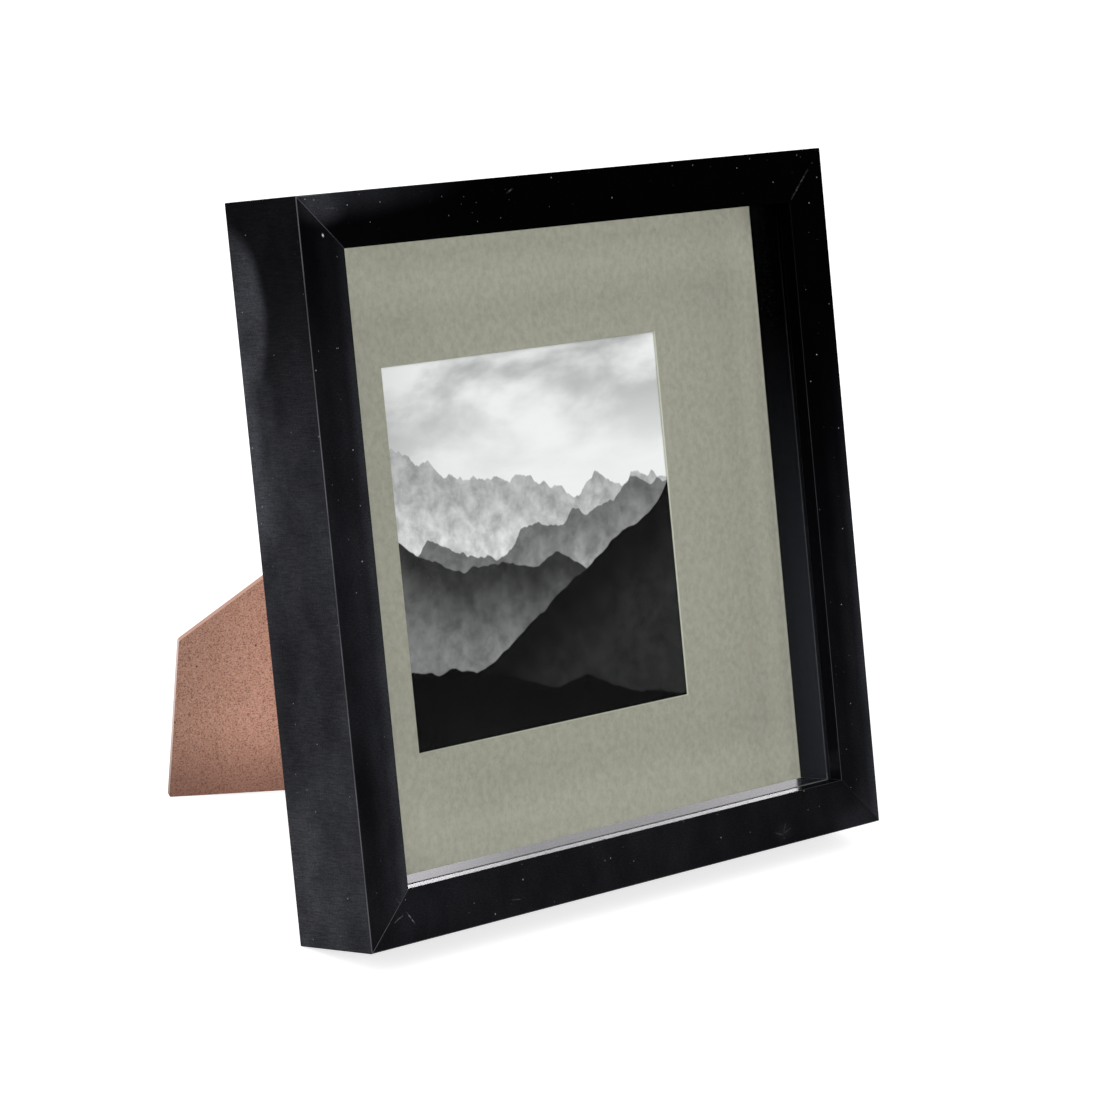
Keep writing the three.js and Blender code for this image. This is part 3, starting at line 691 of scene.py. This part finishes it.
def make_picture(look):
    """A quiet monochrome landscape: pale sky, misty ridges and dark near hills."""
    material, tree, shader = start_material("monochrome_print", {
        "Roughness": 0.4, "Specular IOR Level": 0.02})
    place = place_effect(tree, leaned_place)
    across = maths(tree, "DIVIDE", maths(tree, "SUBTRACT", place["Across"], APERTURE_SHIFT), PICTURE_WIDTH)
    up = maths(tree, "DIVIDE", place["Up"], PICTURE_WIDTH)
    flat = flat_point(tree, across, up)
    drifts = stretched(tree, flat, (2.2, 5.0, 1.0))
    cloud = ramp(tree, noise(tree, drifts, 1.0, detail=6.0, roughness=0.5, distortion=0.2), 0.6, 0.35)
    high = ramp(tree, up, 0.05, 0.5)
    colour = blend_colours(tree, times(tree, high, cloud), grey(look.pale), grey(0.4))
    texture = noise(tree, flat, 18.0, detail=8.0, roughness=0.6, distortion=0.2)
    for *outline, dark, mist in HILLS:
        mask, under = ridge(tree, across, up, *outline)
        tone = blend_values(tree, ramp(tree, under, 0.0, 0.3), dark, mist)
        tone = times(tree, tone, ramp(tree, texture, 0.2, 0.8, 0.6, 1.4))
        body = add(tree, "CombineColor", {"Red": tone, "Green": tone, "Blue": tone}).outputs[0]
        colour = blend_colours(tree, mask, colour, body)
    put(tree, shader.inputs["Base Color"], colour)
    return material


def make_hardboard(name, look, facing_axis, darkest, palest):
    """Smooth brown hardboard with paler fibre on sawn edges; painted shade darkens its outer end, top edges
    and foot.
    """
    material, tree, shader = start_material(name, {"Roughness": 0.7, "Specular IOR Level": 0.25})
    fibres = place_effect(tree, board_fibres, Grain=1300.0, Specks=1500.0)
    patches = place_effect(tree, soft_haze, Scale=16.0, Low=0.3, High=0.75)["Mask"]
    colour = blend_colours(tree, patches, opaque(look.face), opaque(look.patch))
    colour = blend_colours(tree, ramp(tree, fibres["Fibres"], 0.3, 0.7, 0.0, 0.3), colour, opaque(look.fibre))
    colour = blend_colours(tree, times(tree, fibres["Dark"], 0.6), colour, opaque(look.speck_and_shade))
    colour = blend_colours(tree, times(tree, fibres["Pale"], 0.75), colour, opaque(look.chip))
    spots = place_effect(tree, dust_specks, Scale=230.0, Size=0.11)["Mask"]
    colour = blend_colours(tree, times(tree, spots, 2.5, clamp=True), colour, opaque(look.speck_and_shade))
    parts = add(tree, "SeparateXYZ", {0: object_place(tree)}).outputs
    # Painted shade: darkest at the outer end, palest towards the frame
    colour = scaled(tree, colour, ramp(tree, parts[0], -0.105, -0.062, darkest, palest))
    normal = add(tree, "TexCoord").outputs["Normal"]
    along = vector_maths(tree, "DOT_PRODUCT", "Value", normal, facing_axis)
    sawn = ramp(tree, size_of(tree, along), 0.9, 0.5)
    # Painted shade: the upward-facing sawn edges are darker
    upward = ramp(tree, add(tree, "SeparateXYZ", {0: normal}).outputs[2], 0.3, 0.7, 0.0, 0.75)
    edge = blend_colours(tree, upward, opaque(look.edge), opaque(look.fibre))
    colour = blend_colours(tree, sawn, colour, edge)
    # Painted shade near the ground
    low_down = ramp(tree, parts[2], 0.036, 0.0, 0.0, look.ground_shade)
    colour = blend_colours(tree, low_down, colour, opaque(look.speck_and_shade))
    put(tree, shader.inputs["Base Color"], colour)
    put(tree, shader.inputs["Normal"], bump(tree, fibres["Grain"], 0.06 * MM, 0.5))
    return material


def make_card():
    """Grey backing card of pulped paper."""
    material, tree, shader = start_material("grey_backing_card", {
        "Roughness": 0.9, "Specular IOR Level": 0.1})
    fibres = place_effect(tree, board_fibres, Grain=700.0, Specks=400.0)
    colour = blend_colours(tree, fibres["Fibres"], opaque((0.27, 0.26, 0.24)), opaque((0.42, 0.41, 0.38)))
    colour = blend_colours(tree, times(tree, fibres["Dark"], 0.4), colour, grey(0.12))
    put(tree, shader.inputs["Base Color"], colour)
    put(tree, shader.inputs["Normal"], bump(tree, fibres["Grain"], 0.1 * MM, 0.5))
    return material


def make_metal(name, colour, roughness, dulled):
    """Plated sheet or turned metal: fine rolling lines, cloudy plating and a few dull spots."""
    material, tree, shader = start_material(name, {"Metallic": 1.0})
    place = object_place(tree)
    lines = noise(tree, stretched(tree, place, (2400, 300, 300)), 1.0, detail=2.0)
    clouds = place_effect(tree, soft_haze, Scale=60.0, Low=0.3, High=0.7)["Mask"]
    spots = ramp(tree, noise(tree, place, 420.0, detail=3.0), 0.62, 0.72)
    body = blend_colours(tree, clouds, opaque(colour), opaque(tuple(0.8 * level for level in colour)))
    body = blend_colours(tree, times(tree, spots, dulled), body, grey(0.2))
    put(tree, shader.inputs["Base Color"], body)
    rough = plus(tree, roughness, times(tree, lines, 0.12))
    put(tree, shader.inputs["Roughness"], plus(tree, rough, times(tree, spots, 0.2)))
    put(tree, shader.inputs["Normal"], bump(tree, lines, 0.01 * MM, 0.4))
    return material


def cover(nodes, material):
    """Gives each piece this material in place of its own."""
    for piece in nodes:
        piece.data.materials.clear()
        piece.data.materials.append(material)


# Rails

def rounded(corners):
    """The outline through right-angled corners, each a depth, distance in, radius and the finish after it."""
    outline = []
    for index, (depth, inward, radius, finish) in enumerate(corners):
        corner = Vector((depth, inward))
        before = (Vector(corners[index - 1][:2]) - corner).normalized()
        after = (Vector(corners[(index + 1) % len(corners)][:2]) - corner).normalized()
        centre = corner + radius * (before + after)
        for step in range(ARRIS_STEPS + 1):
            angle = math.radians(90 * step / ARRIS_STEPS)
            point = centre - radius * (after * math.cos(angle) + before * math.sin(angle))
            outline.append((point, finish if step == ARRIS_STEPS else 0))
    return outline


def rail_outline(arris):
    """Finishes: 0 foil, 1 sight foil round the glass, 2 raw fibre."""
    return rounded([
        (0, 0, arris, 0),
        (FRAME_DEPTH, 0, 2 * SHARP_RADIUS, 0),
        (FRAME_DEPTH, WALL, SHARP_RADIUS, 2),
        (KERF_REAR, WALL, SHARP_RADIUS, 2),
        (KERF_REAR, WALL - KERF_DEPTH, SHARP_RADIUS, 2),
        (KERF_FRONT, WALL - KERF_DEPTH, SHARP_RADIUS, 2),
        (KERF_FRONT, WALL, SHARP_RADIUS, 2),
        (LIP_THICKNESS, WALL, SHARP_RADIUS, 2),
        (LIP_THICKNESS, FACE_WIDTH, SHARP_RADIUS, 1),
        (0, FACE_WIDTH, SHARP_RADIUS, 0),
    ])


def drawn_in(outline, amount):
    """The outline's points moved into the section by amount."""
    points = [point for point, finish in outline]
    moved = []
    for index, point in enumerate(points):
        chord = points[(index + 1) % len(points)] - points[index - 1]
        moved.append(point + Vector((-chord.y, chord.x)).normalized() * amount)
    return moved


def rail_mesh(name, arris, finishes):
    """A rail along the bottom, swept from mitre to mitre, in the leaning frame's axes."""
    outline = rail_outline(arris)
    full = [point for point, finish in outline]
    eased = drawn_in(outline, MITRE_CHAMFER)
    shape = bmesh.new()
    loops = []
    for side in (-1, 1):
        for ring, inset in ((eased, 0), (full, MITRE_CHAMFER)):
            loop = []
            for depth, inward in ring:
                reach = OUTER_SIDE / 2 - inward - MITRE_GAP / math.sqrt(2) - inset
                loop.append(shape.verts.new((side * reach, depth, inward - OUTER_SIDE / 2)))
            loops.append(loop)
    start_cap, start, end_cap, end = loops
    count = len(outline)
    for first, second, swept in ((start_cap, start, False), (start, end, True), (end, end_cap, False)):
        for index in range(count):
            following = (index + 1) % count
            face = shape.faces.new((first[index], first[following], second[following], second[index]))
            face.material_index = outline[index][1] if swept else 0
    shape.faces.new(reversed(start_cap))
    shape.faces.new(end_cap)
    bmesh.ops.recalc_face_normals(shape, faces=shape.faces)
    mesh = bpy.data.meshes.new(name)
    for finish in finishes:
        mesh.materials.append(finish)
    shape.to_mesh(mesh)
    shape.free()
    return mesh


def nail_cutter():
    """Eight corner slots as one object, to be cut from the rails."""
    shape = bmesh.new()
    for quarter in range(4):
        turn = Matrix.Rotation(quarter * math.pi / 2, 4, "Y")
        for nail_set in NAIL_SETS:
            low = nail_set - SLOT_GAP
            inside = nail_set + NAIL_THICKNESS + SLOT_GAP
            far = nail_set + NAIL_LEG + SLOT_GAP
            outline = ((low, low), (far, low), (far, inside), (inside, inside), (inside, far), (low, far))
            rings = []
            for depth in (FRAME_DEPTH - 2 * SLOT_GAP - NAIL_HEIGHT, FRAME_DEPTH + MM):
                points = [turn @ Vector((x - OUTER_SIDE / 2, depth, z - OUTER_SIDE / 2)) for x, z in outline]
                rings.append([shape.verts.new(point) for point in points])
            shape.faces.new(rings[0])
            shape.faces.new(reversed(rings[1]))
            for index in range(len(outline)):
                following = (index + 1) % len(outline)
                shape.faces.new((rings[0][following], rings[0][index], rings[1][index], rings[1][following]))
    bmesh.ops.recalc_face_normals(shape, faces=shape.faces)
    for face in shape.faces:
        face.material_index = 2
    mesh = bpy.data.meshes.new("nail_slots")
    shape.to_mesh(mesh)
    shape.free()
    cutter = bpy.data.objects.new("nail_slots", mesh)
    bpy.context.scene.collection.objects.link(cutter)
    return cutter


def cut_away(piece, cutter):
    """Cuts the cutter from the piece and keeps the result as the piece's own mesh."""
    slots = piece.modifiers.new("Nail slots", "BOOLEAN")
    slots.operation = "DIFFERENCE"
    slots.solver = "EXACT"
    slots.object = cutter
    evaluated = piece.evaluated_get(bpy.context.evaluated_depsgraph_get())
    mesh = bpy.data.meshes.new_from_object(evaluated)
    piece.modifiers.clear()
    piece.data = mesh


def shade_by_area(piece):
    """Smooth arrises between flat faces."""
    for face in piece.data.polygons:
        face.use_smooth = True
    piece.data.set_sharp_from_angle(angle=math.radians(35))
    weighting = piece.modifiers.new("Weighted normals", "WEIGHTED_NORMAL")
    weighting.weight = 100
    weighting.thresh = 0
    weighting.keep_sharp = True


def soften(nodes, width):
    """Rounds the sharp edges of solids that keep their CAD form."""
    for piece in nodes:
        rounding = piece.modifiers.new("Eased edges", "BEVEL")
        rounding.width = width
        rounding.segments = 2
        rounding.limit_method = "ANGLE"
        rounding.angle_limit = math.radians(40)
        rounding.harden_normals = True


# What a user would change

def colour_property(name, description, default):
    return bpy.props.FloatVectorProperty(name=name, description=description, default=default, subtype="COLOR",
                                         size=3, min=0, max=1)


def share_property(name, description, default):
    return bpy.props.FloatProperty(name=name, description=description, default=default, min=0, max=1,
                                   subtype="FACTOR")


class FoilLook(bpy.types.PropertyGroup):
    """Black foil on the rails and spacers."""
    arris_radius: bpy.props.FloatProperty(
        name="Arris radius", description="Rounding of the rails' front arrises", default=0.72 * MM,
        min=0.2 * MM, max=2 * MM, unit="LENGTH")
    foil: colour_property("Foil", "Colour of the foil where it is clean", (0.0003, 0.0003, 0.0005))
    # Also the colour of the painted sheen on the rails
    haze: colour_property("Haze", "Colour of the foil where it is hazy", (0.0275, 0.0288, 0.037))
    # The colour of the painted light on the walls round the glass
    sight: colour_property("Sight", "Colour of the foil on the walls round the glass", (0.023, 0.024, 0.0293))
    # The colour of the painted highlights along the arrises and mitres
    arris: colour_property("Arris", "Colour of the worn arrises", (0.085, 0.086, 0.093))
    scratched: share_property("Scratches", "Strength of the marks on the front", 0.25)
    dusty: share_property("Dust", "Strength of the dust specks", 0.35)


class MountLook(bpy.types.PropertyGroup):
    """Sage mount card round the picture."""
    light: colour_property("Light", "The card's lighter fibres", (0.375, 0.368, 0.305))
    shade: colour_property("Shade", "The card's darker fibres", (0.292, 0.287, 0.2325))
    warm: colour_property("Warm", "The card's warmer patches", (0.355, 0.329, 0.276))
    core: colour_property("Core", "The card's core in the bevel", (0.46, 0.46, 0.38))
    # Painted reflection: how brightly the card's bottom strip glows where the ledge mirrors it
    reflection_glow: bpy.props.FloatProperty(
        name="Mirrored light", description="How bright the card is where the foil mirrors it",
        default=10.4, min=0, max=20)


class PictureLook(bpy.types.PropertyGroup):
    """The printed picture."""
    pale: share_property("Pale tone", "Brightness of the palest sky", 0.85)


class BoardLook(bpy.types.PropertyGroup):
    """Hardboard of the back panel and the strut."""
    face: colour_property("Face", "Smooth face of the board", (0.54, 0.3, 0.215))
    patch: colour_property("Patch", "Lighter patches of the face", (0.62, 0.355, 0.265))
    # Also the colour of the painted shade on upward-facing sawn edges
    fibre: colour_property("Fibre", "Long fibres in the face", (0.46, 0.24, 0.165))
    # Also the colour of the painted shade near the ground
    speck_and_shade: colour_property("Speck", "Dark specks", (0.12, 0.05, 0.035))
    chip: colour_property("Chip", "Pale specks", (0.72, 0.47, 0.38))
    edge: colour_property("Edge", "Sawn edges", (0.68, 0.54, 0.5))
    # Painted shade: how much darker the board is near the ground
    ground_shade: share_property("Soiled", "How much darker the board is near the ground", 0.6)


class StageLook(bpy.types.PropertyGroup):
    """Floor, daylight and lamps."""
    floor_size: bpy.props.FloatProperty(name="Floor size", description="Side of the pale floor", default=16,
                                        min=2, max=60, unit="LENGTH")
    floor: colour_property("Floor", "Colour of the floor", (0.7, 0.7, 0.7))
    daylight: bpy.props.FloatProperty(
        name="Daylight", description="Strength of the even light from all round", default=0.66, min=0, max=2)
    key_power: bpy.props.FloatProperty(name="Key power", description="Power of the soft lamp at the left",
                                       default=60, min=0, max=500, unit="POWER")
    front_power: bpy.props.FloatProperty(name="Front power", description="Power of the soft lamp in front",
                                         default=16, min=0, max=500, unit="POWER")


# Pieces

class SHADOW_BOX_OT_wrap_rails(bpy.types.Operator):
    """Makes the four mitred rails in foil, with a kerf for the turn tabs and slots for the nails"""
    bl_idname = "shadow_box.wrap_rails"
    bl_label = "Wrap rails"

    def execute(self, context):
        look = context.scene.box_foil
        finishes = (
            make_foil("black_foil", look),
            # 0.86 keeps most of the walls' painted light off the lip
            make_sight_foil("sight_foil", look, 0.86, {"IOR": 1.033, "Roughness": 0.12}),
            make_raw_fibre(),
        )
        cutter = nail_cutter()
        for quarter, side in enumerate(SIDES):
            name = f"wrapped_rail_{side}"
            mesh = rail_mesh(name, look.arris_radius, finishes)
            mesh.transform(Matrix.Rotation(quarter * math.pi / 2, 4, "Y"))
            rail = bpy.data.objects.new(name, mesh)
            context.scene.collection.objects.link(rail)
            cut_away(rail, cutter)
            rail.data.transform(LEANING)
            shade_by_area(rail)
            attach(rail, "frame")
            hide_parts(f"rail_{side}")
        bpy.data.objects.remove(cutter)
        return {"FINISHED"}


class SHADOW_BOX_OT_drive_nails(bpy.types.Operator):
    """Finishes the steel nails in the mitres"""
    bl_idname = "shadow_box.drive_nails"
    bl_label = "Drive nails"

    def execute(self, context):
        names = [f"corner_nail_{corner}_{place}" for corner in CORNERS for place in ("outer", "inner")]
        cover(nodes_named(*names), make_metal("nail_steel", (0.42, 0.42, 0.43), 0.35, 0.5))
        return {"FINISHED"}


class SHADOW_BOX_OT_fit_glass(bpy.types.Operator):
    """Finishes the clear pane behind the lip"""
    bl_idname = "shadow_box.fit_glass"
    bl_label = "Fit glass"

    def execute(self, context):
        cover(nodes_named("glass_pane"), make_glazing())
        return {"FINISHED"}


class SHADOW_BOX_OT_fit_spacers(bpy.types.Operator):
    """Finishes the foil-covered strips that hold the mount back from the glass"""
    bl_idname = "shadow_box.fit_spacers"
    bl_label = "Fit spacers"

    def execute(self, context):
        strips = nodes_named(*(f"spacer_{side}" for side in SIDES))
        values = {"IOR": 1.022, "Roughness": 0.2}
        cover(strips, make_sight_foil("spacer_foil", context.scene.box_foil, 0.0, values))
        return {"FINISHED"}


class SHADOW_BOX_OT_cut_mount(bpy.types.Operator):
    """Finishes the sage mount card and its bevelled window"""
    bl_idname = "shadow_box.cut_mount"
    bl_label = "Cut mount"

    def execute(self, context):
        cover(nodes_named("window_mount"), make_mount_card(context.scene.box_mount))
        return {"FINISHED"}


class SHADOW_BOX_OT_print_picture(bpy.types.Operator):
    """Prints a quiet monochrome landscape on the sheet"""
    bl_idname = "shadow_box.print_picture"
    bl_label = "Print picture"

    def execute(self, context):
        cover(nodes_named("print_sheet"), make_picture(context.scene.box_picture))
        return {"FINISHED"}


class SHADOW_BOX_OT_close_back(bpy.types.Operator):
    """Finishes the backing card and the hardboard panel behind it"""
    bl_idname = "shadow_box.close_back"
    bl_label = "Close back"

    def execute(self, context):
        cover(nodes_named("backing_card"), make_card())
        panel = make_hardboard("panel_hardboard", context.scene.box_board, LEANING.col[1][:3], 1.0, 1.0)
        cover(nodes_named("back_panel"), panel)
        return {"FINISHED"}


class SHADOW_BOX_OT_fit_fittings(bpy.types.Operator):
    """Finishes the turn tabs, hangers, hinge leaves, pin and rivets"""
    bl_idname = "shadow_box.fit_fittings"
    bl_label = "Fit fittings"

    def execute(self, context):
        sheet = make_metal("zinc_sheet", (0.62, 0.63, 0.65), 0.28, 0.35)
        turned = make_metal("rivet_metal", (0.72, 0.72, 0.73), 0.24, 0.2)
        plates = [f"turn_tab_{tab}" for tab in TABS]
        plates += ["hanger_top", "hanger_side", "hinge_leaf_panel", "hinge_leaf_strut"]
        rivets = [f"tab_rivet_{tab}" for tab in TABS]
        rivets += [f"hanger_rivet_{place}_{end}" for place in ("top", "side") for end in "ab"]
        rivets += [f"hinge_rivet_{board}_{end}" for board in ("panel", "strut") for end in "ab"]
        cover(nodes_named(*plates), sheet)
        cover(nodes_named(*rivets, "hinge_pin"), turned)
        soften(nodes_named(*plates), 0.12 * MM)
        return {"FINISHED"}


class SHADOW_BOX_OT_hang_strut(bpy.types.Operator):
    """Finishes the hardboard strut"""
    bl_idname = "shadow_box.hang_strut"
    bl_label = "Hang strut"

    def execute(self, context):
        board = nodes_named("strut_board")
        facing = max(board[0].data.polygons, key=lambda face: face.area).normal
        # 0.76 and 1.18 set the painted shade from the strut's outer end to the frame
        cover(board, make_hardboard("strut_hardboard", context.scene.box_board, facing, 0.76, 1.18))
        soften(board, 0.15 * MM)
        return {"FINISHED"}


# Stage

def floor_material(look):
    """Pale floor that shows the object's shadow, and fades to the white all round."""
    material, tree, shader = start_material("pale_floor", {
        "Roughness": 0.9, "Specular IOR Level": 0.0, "Emission Strength": 0.7})
    place = object_place(tree)
    mottle = noise(tree, place, 3.0, detail=2.0)
    pale = blend_colours(tree, ramp(tree, mottle, 0.3, 0.7, 0.0, 0.02), opaque(look.floor), grey(1.0))
    put(tree, shader.inputs["Base Color"], pale)
    put(tree, shader.inputs["Emission Color"], blend_colours(tree, seen_directly(tree), grey(0), grey(1)))
    return material


def seen_directly(tree):
    """One where the camera, a gloss or a glass looks, and nought for the light that falls on things."""
    path = add(tree, "LightPath").outputs
    seen = larger(tree, path["Is Camera Ray"], path["Is Glossy Ray"])
    return larger(tree, seen, path["Is Transmission Ray"])


def lay_floor(look):
    half = look.floor_size / 2
    shape = bmesh.new()
    bmesh.ops.create_grid(shape, x_segments=8, y_segments=8, size=half)
    mesh = bpy.data.meshes.new("floor")
    shape.to_mesh(mesh)
    shape.free()
    floor = bpy.data.objects.new("floor", mesh)
    bpy.context.scene.collection.objects.link(floor)
    cover([floor], floor_material(look))


def light_world(look):
    world = bpy.data.worlds.new("white_room")
    world.use_nodes = True
    tree = world.node_tree
    tree.nodes.clear()
    strength = blend_values(tree, seen_directly(tree), look.daylight, 1.0)
    background = add(tree, "Background", {"Color": grey(1), "Strength": strength})
    add(tree, "OutputWorld", {"Surface": background.outputs[0]})
    bpy.context.scene.world = world


def hang_lamp(name, power, place, size):
    lamp = bpy.data.lights.new(name, "AREA")
    lamp.energy = power
    lamp.size = size
    holder = bpy.data.objects.new(name, lamp)
    holder.location = place
    holder.rotation_euler = (Vector(LIT_POINT) - Vector(place)).to_track_quat("-Z", "Y").to_euler()
    bpy.context.scene.collection.objects.link(holder)


def set_camera():
    lens = bpy.data.cameras.new("camera")
    lens.lens = CAMERA_LENS
    lens.sensor_width = SENSOR
    camera = bpy.data.objects.new("camera", lens)
    camera.location = CAMERA_PLACE
    camera.rotation_euler = Euler([math.radians(turn) for turn in CAMERA_TURN])
    bpy.context.scene.collection.objects.link(camera)
    bpy.context.scene.camera = camera


class SHADOW_BOX_OT_set_stage(bpy.types.Operator):
    """Lays the floor, lights the scene and places the camera"""
    bl_idname = "shadow_box.set_stage"
    bl_label = "Set stage"

    def execute(self, context):
        look = context.scene.box_stage
        lay_floor(look)
        light_world(look)
        hang_lamp("key", look.key_power, *KEY_LAMP)
        hang_lamp("front", look.front_power, *FRONT_LAMP)
        set_camera()
        context.scene.view_settings.view_transform = "Standard"
        return {"FINISHED"}


STEPS = (
    SHADOW_BOX_OT_wrap_rails,
    SHADOW_BOX_OT_drive_nails,
    SHADOW_BOX_OT_fit_glass,
    SHADOW_BOX_OT_fit_spacers,
    SHADOW_BOX_OT_cut_mount,
    SHADOW_BOX_OT_print_picture,
    SHADOW_BOX_OT_close_back,
    SHADOW_BOX_OT_fit_fittings,
    SHADOW_BOX_OT_hang_strut,
    SHADOW_BOX_OT_set_stage,
)
LOOKS = {
    "box_foil": FoilLook,
    "box_mount": MountLook,
    "box_picture": PictureLook,
    "box_board": BoardLook,
    "box_stage": StageLook,
}


class SHADOW_BOX_PT_panel(bpy.types.Panel):
    """The frame's pieces and looks in the sidebar"""
    bl_idname = "SHADOW_BOX_PT_panel"
    bl_label = "Shadow box frame"
    bl_space_type = "VIEW_3D"
    bl_region_type = "UI"
    bl_category = "Shadow Box"

    def draw(self, context):
        for step in STEPS:
            self.layout.operator(step.bl_idname)
        for look in LOOKS:
            group = getattr(context.scene, look)
            box = self.layout.box()
            for name in group.__annotations__:
                box.prop(group, name)


def register():
    for group in LOOKS.values():
        bpy.utils.register_class(group)
    for step in STEPS:
        bpy.utils.register_class(step)
    bpy.utils.register_class(SHADOW_BOX_PT_panel)
    for name, group in LOOKS.items():
        setattr(bpy.types.Scene, name, bpy.props.PointerProperty(type=group))


def unregister():
    for name in LOOKS:
        delattr(bpy.types.Scene, name)
    bpy.utils.unregister_class(SHADOW_BOX_PT_panel)
    for step in reversed(STEPS):
        bpy.utils.unregister_class(step)
    for group in reversed(LOOKS.values()):
        bpy.utils.unregister_class(group)


def main():
    register()
    bpy.ops.shadow_box.wrap_rails()
    bpy.ops.shadow_box.drive_nails()
    bpy.ops.shadow_box.fit_glass()
    bpy.ops.shadow_box.fit_spacers()
    bpy.ops.shadow_box.cut_mount()
    bpy.ops.shadow_box.print_picture()
    bpy.ops.shadow_box.close_back()
    bpy.ops.shadow_box.fit_fittings()
    bpy.ops.shadow_box.hang_strut()
    bpy.ops.shadow_box.set_stage()


if __name__ == "__main__":
    main()
